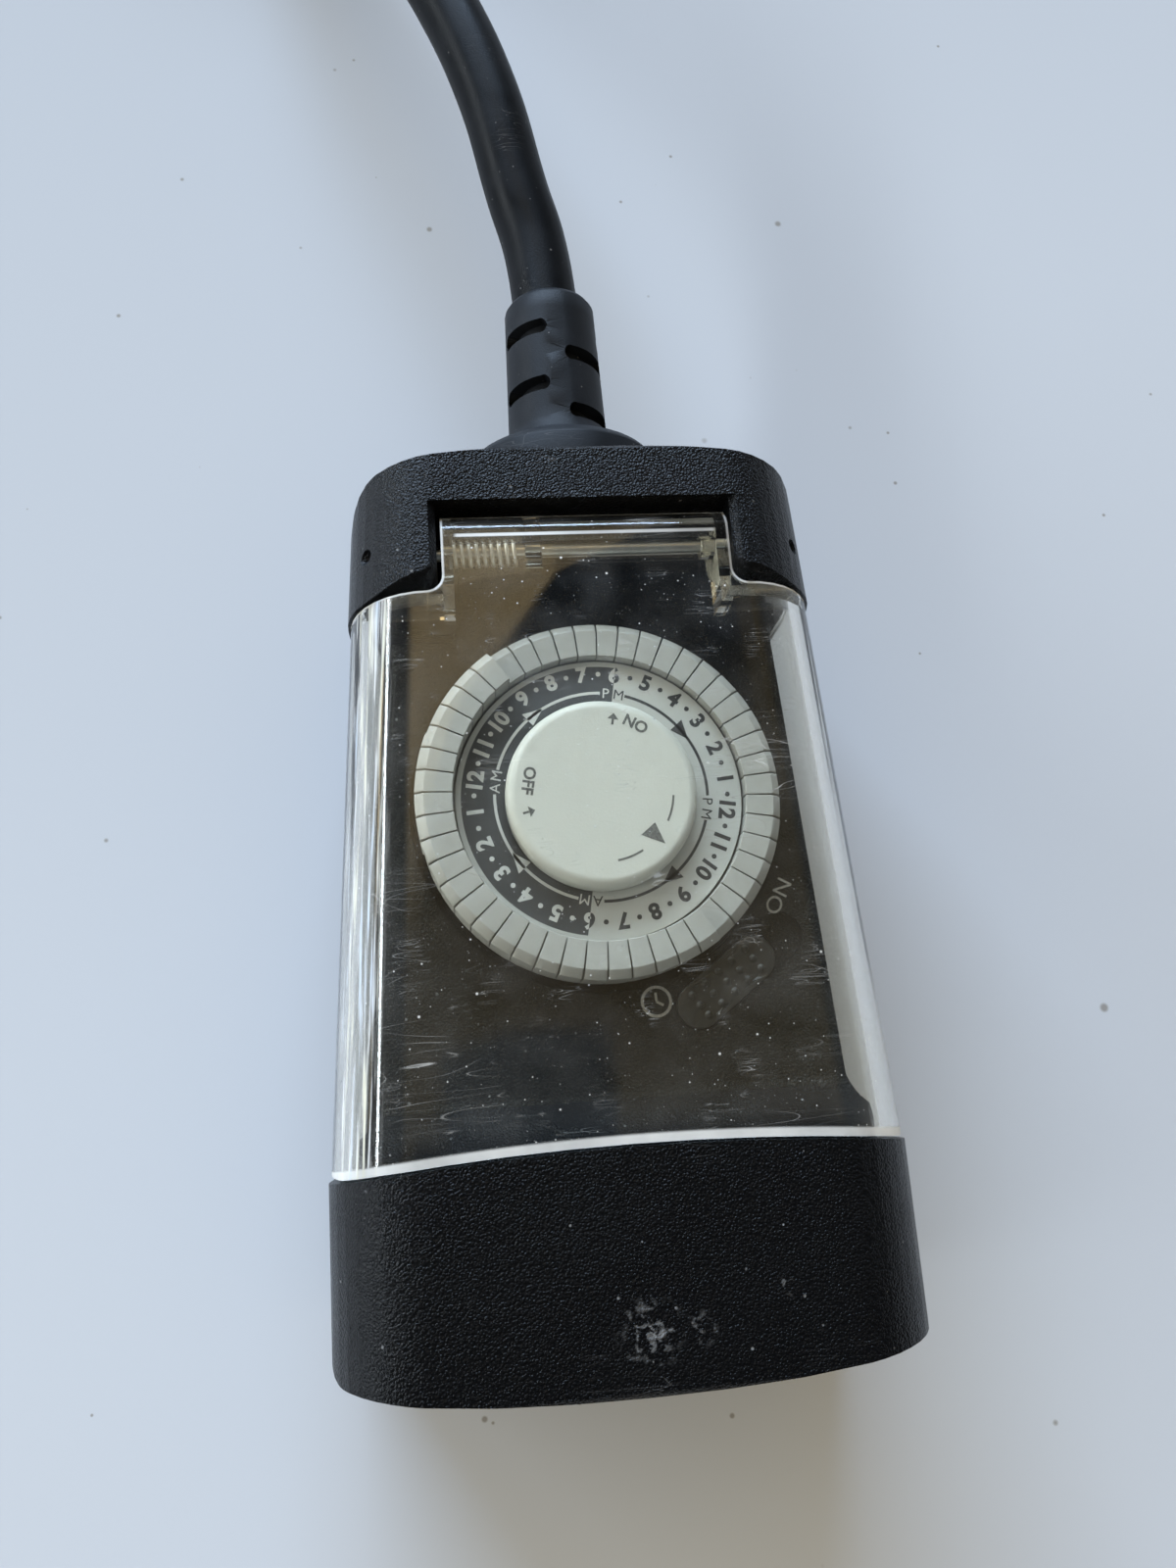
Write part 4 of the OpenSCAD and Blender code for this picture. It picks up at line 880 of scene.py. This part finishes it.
def makeDialPrint():
    ink = Print(dialMarks["height"])
    first = dialLook["split"]
    hours = [6, 5, 4, 3, 2, 1, 12, 11, 10, 9, 8, 7]
    for k in range(24):
        angle = first + 15 * k
        # A nine turned round makes the six
        six = hours[k % 12] == 6
        ink.word("9" if six else str(hours[k % 12]), dialMarks["numbers"], angle, dialMarks["size"],
                 dialMarks["bold"], out=not six)
        ink.dot(dialMarks["numbers"], angle + 7.5, dialMarks["dots"])
    for k, label in enumerate(dialMarks["labels"]):
        start = first + 90 * k
        turn = dialMarks["labelTurn"]
        for angle, letter in zip((start - turn, start + turn), label):
            ink.word(letter, dialMarks["arcs"], angle, dialMarks["labelSize"])
        ink.arc(dialMarks["arcs"], start + 6.8, start + 83.2, dialMarks["arcWidth"])
        middle = start + 45
        tip = onCircle(dialMarks["arcs"], middle + 5)
        ink.shape([tip, onCircle(dialMarks["arcs"] + 1.0, middle - 5.5),
                   onCircle(dialMarks["arcs"] - 1.0, middle - 5.5)])
    bmesh.ops.translate(ink.bm, verts=ink.bm.verts, vec=Vector((*dialMarks["shift"], 0)) * mm)
    return ink.piece("dialPrint", "dial", "dial_white", dialInkFinish())


capMarks = {
    "height": 41.8,
    "pointer": 134,
}


def makeCapPrint():
    ink = Print(capMarks["height"])
    ink.word("ON", 9.5, 29.5, 1.5, 0.03, out=False)
    ink.word("OFF", 9.0, 281, 1.5, 0.03, out=False)
    # Plain arrows: down for a lowered tripper, up for a raised one
    for angle, up in ((12, -1), (257, 1)):
        mid = 9.25
        tip, back = mid - 0.75 * up, mid + 0.75 * up
        ink.line(onCircle(back, angle), onCircle(mid, angle), 0.28)
        ink.shape([onCircle(tip, angle), onCircle(mid, angle + 4.2), onCircle(mid, angle - 4.2)])
    a = capMarks["pointer"]
    ink.shape([onCircle(9.8, a), onCircle(7.0, a + 9), onCircle(7.3, a - 9.5)])
    ink.arc(8.6, a - 38, a - 16, 0.26)
    ink.arc(8.6, a + 16, a + 38, 0.26)
    finish = inkFinish("capInk", (0.05, 0.05, 0.048), (0.14, 0.14, 0.13))
    return ink.piece("capPrint", "housing", "cap_ivory", finish)


deckMarks = {
    "height": 34.5,
    "clock": (5.5, -24.9),
    "clockSize": 1.9,
}


def makeDeckPrint():
    ink = Print(deckMarks["height"])
    ink.word("ON", 25.5, 120.4, 1.95, out=False, wide=1.1)
    x, y = deckMarks["clock"]
    size = deckMarks["clockSize"]
    ink.arc(size - 0.14, 0, 360, 0.36, centre=(x, y), step=15)
    ink.line((x, y), (x - 0.05, y + 1.1), 0.3)
    ink.line((x, y), (x + 0.85, y - 0.5), 0.3)
    finish = inkFinish("deckInk", (0.36, 0.34, 0.3), (0.2, 0.19, 0.165))
    return ink.piece("deckPrint", "housing", "black_plastic", finish)


makeDialPrint()
makeCapPrint()
makeDeckPrint()
print("printing ready")

# Spring

springFacts = {
    "wire": 0.275,
    "coil": 1.7,
    "turns": 9,
    "start": -16.9,
    "pitch": 0.93,
    "pin": (31.8, 41.2),
}


def makeSpring():
    s = springFacts
    points = []
    y, z = s["pin"]
    points.append(Vector((s["start"], y - 2.1, z - s["coil"])) * mm)
    points.append(Vector((s["start"], y - 1.0, z - s["coil"])) * mm)
    steps = 22
    for k in range(s["turns"] * steps + 1):
        a = 2 * math.pi * k / steps - math.pi / 2
        x = s["start"] + s["pitch"] * k / steps
        points.append(Vector((x, y + s["coil"] * math.cos(a), z + s["coil"] * math.sin(a))) * mm)
    bm = sweep(points, s["wire"] * mm, 10, up=Vector((1, 0, 0)))
    mesh = meshFrom("coilSpring", bm)
    piece = newPiece("coilSpring", mesh, "housing", looks["spring_steel"])
    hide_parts("cover_spring")


makeSpring()

# Strain relief

# The sleeve keeps the solid's slits. Along it and across it, in mm: from the solid to the piece
bootShape = {
    "start": 44.6,
    "axis": 21,
    "along": [(-5, -5), (0, 0), (7.9, 7.7), (9, 9.2), (10.2, 10.2), (13.3, 11.2), (15.8, 12.2), (18, 14.3),
              (35, 31.5), (38.4, 35.6), (39.2, 36.4)],
    "out": [(-5, 0), (0, 0), (0.01, 2.2), (7.7, 2.2), (9.2, 1.9), (10.2, 1.4), (11.2, 0.8),
            (12.2, 0.35), (14.3, 0), (40, 0)],
    # The smooth sleeve begins and ends at these, and its skin is further out than this
    "sleeve": 15.5,
    "rim": 36.1,
    "skin": 7,
    "turn": [(-45, -45), (-42.7, -35), (42.7, 35), (45, 45)],
}


def between(pairs, value):
    # The value carried from the first numbers to the second, straight between the pairs
    for (a, b), (c, d) in zip(pairs, pairs[1:]):
        if value <= c:
            return b + (d - b) * max(0, value - a) / (c - a)
    return pairs[-1][1]


def makeBoot():
    bm = bmesh.new()
    bm.from_mesh(nodes["cord_boot"].data)
    bmesh.ops.remove_doubles(bm, verts=bm.verts, dist=2e-6)
    for vert in bm.verts:
        x, y, z = vert.co / mm
        far = between(bootShape["along"], y - bootShape["start"])
        radius = math.hypot(x, z - bootShape["axis"])
        if radius > 1e-4:
            angle = math.degrees(math.atan2(z - bootShape["axis"], -x))
            middle = 90 * math.floor(angle / 90) + 45
            angle = math.radians(middle + between(bootShape["turn"], angle - middle))
            if radius > 7.6 and far >= 0:
                radius += between(bootShape["out"], far)
            x, z = radius * math.cos(angle), radius * math.sin(angle) + bootShape["axis"]
        vert.co = Vector((x, bootShape["start"] + far, z)) * mm
    mesh = meshFrom("bootSleeve", bm)
    # Round normals on the sleeve's outside, so that the slits leave no creases on it
    normals = []
    for face in mesh.polygons:
        for k in face.vertices:
            spot = mesh.vertices[k]
            x, y, z = spot.co / mm
            outward = Vector((x, 0, z - bootShape["axis"]))
            onSleeve = bootShape["sleeve"] < y - bootShape["start"] < bootShape["rim"]
            onSkin = outward.length > bootShape["skin"]
            outward.normalize()
            if onSleeve and onSkin and face.normal.dot(outward) > 0.5:
                normals.append(outward)
            else:
                normals.append(spot.normal if face.normal.dot(spot.normal) > 0.85 else face.normal)
    mesh.normals_split_custom_set([tuple(n) for n in normals])
    piece = newPiece("bootSleeve", mesh, "housing", looks["boot_rubber"])
    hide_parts("cord_boot")


makeBoot()

# Cover wear and painted highlights


def coverSkin(name, pick, lift, material):
    # A thin copy of some of the cover's outer faces, for the wear and the painted highlights laid on them
    bm = bmesh.new()
    bm.from_mesh(nodes["cover"].data)
    bmesh.ops.remove_doubles(bm, verts=bm.verts, dist=2e-6)
    bm.normal_update()
    away = [face for face in bm.faces if not pick(face)]
    bmesh.ops.delete(bm, geom=away, context="FACES")
    bm.normal_update()
    for vert in bm.verts:
        vert.co += vert.normal * lift
    for face in bm.faces:
        face.smooth = True
    mesh = bpy.data.meshes.new(name)
    bm.to_mesh(mesh)
    bm.free()
    return newPiece(name, mesh, "cover", material)


def isOuter(face):
    centre = face.calc_center_median()
    out = Vector((centre.x, 0, centre.z - 0.020))
    return face.normal.dot(out.normalized()) > 0.35


def isRim(face):
    centre = face.calc_center_median()
    return abs(face.normal.y) > 0.8 and centre.y < -0.035


def isLip(face):
    centre = face.calc_center_median()
    return face.normal.z < -0.8 and centre.y > 0.02 and abs(centre.x) > 0.016 and 0.035 < centre.z < 0.042


coverSkin("coverWearAndHighlights", isOuter, 0.00002, coverWearFinish())
# Painted highlights: the cover's lower cut face and the lips under the tab are made pale
coverSkin("coverRim", isRim, 0.00002, coverRimFinish("coverRim", 0.35, 0.8))
coverSkin("coverLips", isLip, 0.00002, coverRimFinish("coverLips", 0.12, 0.34))
print("cover ready")

# Edges

edgeWidths = {"cover": 0.0002, "front_housing": 0.0003, "rear_housing": 0.0003,
              "center_cap": 0.00025, "plug_body": 0.0003, "outlet_block": 0.0002, "override_slider": 0.0002,
              "dial_plate": 0.0001, "plug_blades": 0.00015, "housing_screws": 0.0001}

for name, node in nodes.items():
    if name.startswith("trippers"):
        smoothNode(node, 0.0001)
    elif name in edgeWidths:
        smoothNode(node, edgeWidths[name])

# Light and table

light = {
    "ambient": (0.445, 0.365, 0.24),
    "zenith": (0.045, 0.05, 0.055),
    "horizon": (0.4, 0.43, 0.46),
    "behind": (0.1, 0.093, 0.08),
    "backdrop": (0.78, 0.79, 0.8),
    # What the clear cover mirrors from above: tan walls, one lit, and two dark shapes
    "wall": (0.22, 0.18, 0.11),
    "litWall": (1.25, 0.98, 0.56),
    "dark": (0.04, 0.055, 0.08),
    # Lamps: place and aim in metres, size, power and colour
    "lamps": {
        "window": ((-0.45, 2.12, 1.08), (0, 0, 0.02), (1.9, 0.9), 100, (0.57, 0.75, 1.0)),
        "sideStrip": ((-0.75, 0.12, 0.3), (0, 0, 0.03), (0.9, 0.06), 5, (0.86, 0.94, 1.0)),
        "warmPanel": ((-0.14, 0.86, 1.25), (-0.02, 0.02, 0.045), (0.42, 0.6), 0.7, (1.0, 0.86, 0.56)),
    },
}


def makeLamp(name, at, aim, size, power, colour):
    data = bpy.data.lights.new(name, "AREA")
    data.shape = "RECTANGLE"
    data.size = size[0]
    data.size_y = size[1]
    data.energy = power
    data.color = colour
    lamp = bpy.data.objects.new(name, data)
    lamp.location = at
    lamp.rotation_mode = "QUATERNION"
    lamp.rotation_quaternion = (Vector(aim) - Vector(at)).to_track_quat("-Z", "Y")
    lamp.visible_camera = False
    lamp.visible_transmission = False
    bpy.context.scene.collection.objects.link(lamp)


for name, facts in light["lamps"].items():
    makeLamp(name, *facts)


def makeWorld():
    # Warm even light, a dark room with tan walls in reflections and a pale backdrop
    world = bpy.data.worlds.new("room")
    bpy.context.scene.world = world
    world.use_nodes = True
    tree = world.node_tree
    tree.nodes.clear()
    out = addNode(tree, "ShaderNodeOutputWorld", 1000, 0)
    path = addNode(tree, "ShaderNodeLightPath", -600, 400)
    way = parted(tree, addNode(tree, "ShaderNodeTexCoord", -1300, 0).outputs["Generated"], -1100, 0)
    up = math2(tree, "MAXIMUM", way[2], 0.05, -950, -200)
    across = math2(tree, "DIVIDE", way[0], up, -800, -200)
    along = math2(tree, "DIVIDE", way[1], up, -800, -400)
    # The lit wall lies left of a slanted edge, and the dark shapes right of it and low down
    edge = math2(tree, "SUBTRACT", math2(tree, "MULTIPLY", along, 0.75, -650, -400), 0.236, -500, -400)
    right = math2(tree, "SUBTRACT", across, edge, -350, -300)
    right = mapRange(tree, right, -0.006, 0.006, 0.0, 1.0, -200, -300, True)
    high = mapRange(tree, along, 0.12, 0.4, 0.0, 1.0, -350, -600, True)
    lit = math2(tree, "MULTIPLY", high, math2(tree, "SUBTRACT", 1.0, right, -100, -450), 50, -500)
    room = mixColours(tree, lit, light["wall"], light["litWall"], 250, -400)
    shadeEnd = mapRange(tree, across, 0.24, 0.33, 1.0, 0.0, -350, -800, True)
    shade = math2(tree, "MULTIPLY", math2(tree, "MULTIPLY", right, shadeEnd, -50, -700), high, 100, -700)
    below = mapRange(tree, along, -0.055, -0.02, 1.0, 0.0, -50, -1400, True)
    shade = math2(tree, "MAXIMUM", shade, below, 200, -1200)
    inside = math2(tree, "ABSOLUTE", math2(tree, "SUBTRACT", across, 0.03, -350, -1000), None, -200, -1000)
    wide = mapRange(tree, inside, 0.082, 0.094, 1.0, 0.0, -50, -1000, True)
    low = mapRange(tree, along, 0.03, 0.05, 1.0, 0.0, -50, -1200, True)
    block = math2(tree, "MULTIPLY", wide, low, 100, -1000)
    shade = math2(tree, "MAXIMUM", shade, block, 250, -700)
    room = mixColours(tree, shade, room, light["dark"], 400, -400)
    # The shapes show round the zenith only
    spread = math2(tree, "MAXIMUM", math2(tree, "ABSOLUTE", across, None, -350, 250),
                   math2(tree, "ABSOLUTE", along, None, -350, 150), -200, 200)
    middle = mapRange(tree, spread, 0.5, 0.8, 1.0, 0.0, -50, 200, True)
    height = mapRange(tree, way[2], 0.1, 0.85, 0.0, 1.0, -500, 0)
    facing = mapRange(tree, way[1], -0.3, 0.5, 0.0, 1.0, -700, 100, True)
    sides = mixColours(tree, facing, light["behind"], light["horizon"], -500, 100)
    ceiling = mixColours(tree, height, sides, light["zenith"], -250, 0)
    seen = mixColours(tree, middle, ceiling, room, 550, -200)
    mirrored = math2(tree, "MAXIMUM", path.outputs["Is Glossy Ray"],
                     path.outputs["Is Transmission Ray"], -250, 400)
    shown = mixColours(tree, mirrored, light["ambient"], seen, 700, 0)
    final = mixColours(tree, path.outputs["Is Camera Ray"], shown, light["backdrop"], 850, 200)
    soft = addNode(tree, "ShaderNodeBackground", 900, 0)
    tree.links.new(final, soft.inputs[0])
    tree.links.new(soft.outputs[0], out.inputs[0])


makeWorld()

table = {
    "colour": (0.62, 0.66, 0.72),
    # Painted shade: its tone falls off this way, towards the window, in shares per metre, up to a share
    "fall": (-0.6, 0.95, 0),
    "mostFall": 0.34,
    "paintedShade": (0.02, 0.016, 0.01),
    "dirt": (0.2, 0.18, 0.15),
    "roughness": 0.8,
    "half": 1.6,
}


def makeTable():
    bm = bmesh.new()
    half = table["half"]
    verts = [bm.verts.new((x * half, y * half, 0)) for x, y in ((-1, -1), (1, -1), (1, 1), (-1, 1))]
    bm.faces.new(verts)
    mesh = bpy.data.meshes.new("tableTop")
    bm.to_mesh(mesh)
    bm.free()
    finish = Finish("tableTop", table["colour"], table["roughness"], Specular_IOR_Level=0.15)
    dirt = finish.group("dust", -900, -300, Spacing=0.009, Amount=0.05)["Mask"]
    slow = finish.noise(0.2, 2, -900, 300)
    tone = finish.mix(finish.range(slow, 0.3, 0.7, 0, 1, -500, 300), table["colour"],
                      tuple(c * 0.97 for c in table["colour"]), -200, 300)
    # Painted shade: the table is darker towards the upper left
    fall = finish.calc("ADD", dotWith(finish.tree, finish.place, table["fall"], -900, 600), 0.1,
                       -700, 600, True)
    fall = finish.calc("MINIMUM", fall, table["mostFall"], -550, 600)
    tone = finish.mix(fall, tone, table["paintedShade"], 0, 400)
    dirt = finish.calc("MULTIPLY", dirt, 0.7, -500, -300)
    finish.link(finish.mix(dirt, tone, table["dirt"], 100, 200), "Base Color")
    mesh.materials.append(finish.material)
    top = bpy.data.objects.new("tableTop", mesh)
    bpy.context.scene.collection.objects.link(top)


makeTable()
print("light and table ready")

bpy.context.view_layer.update()
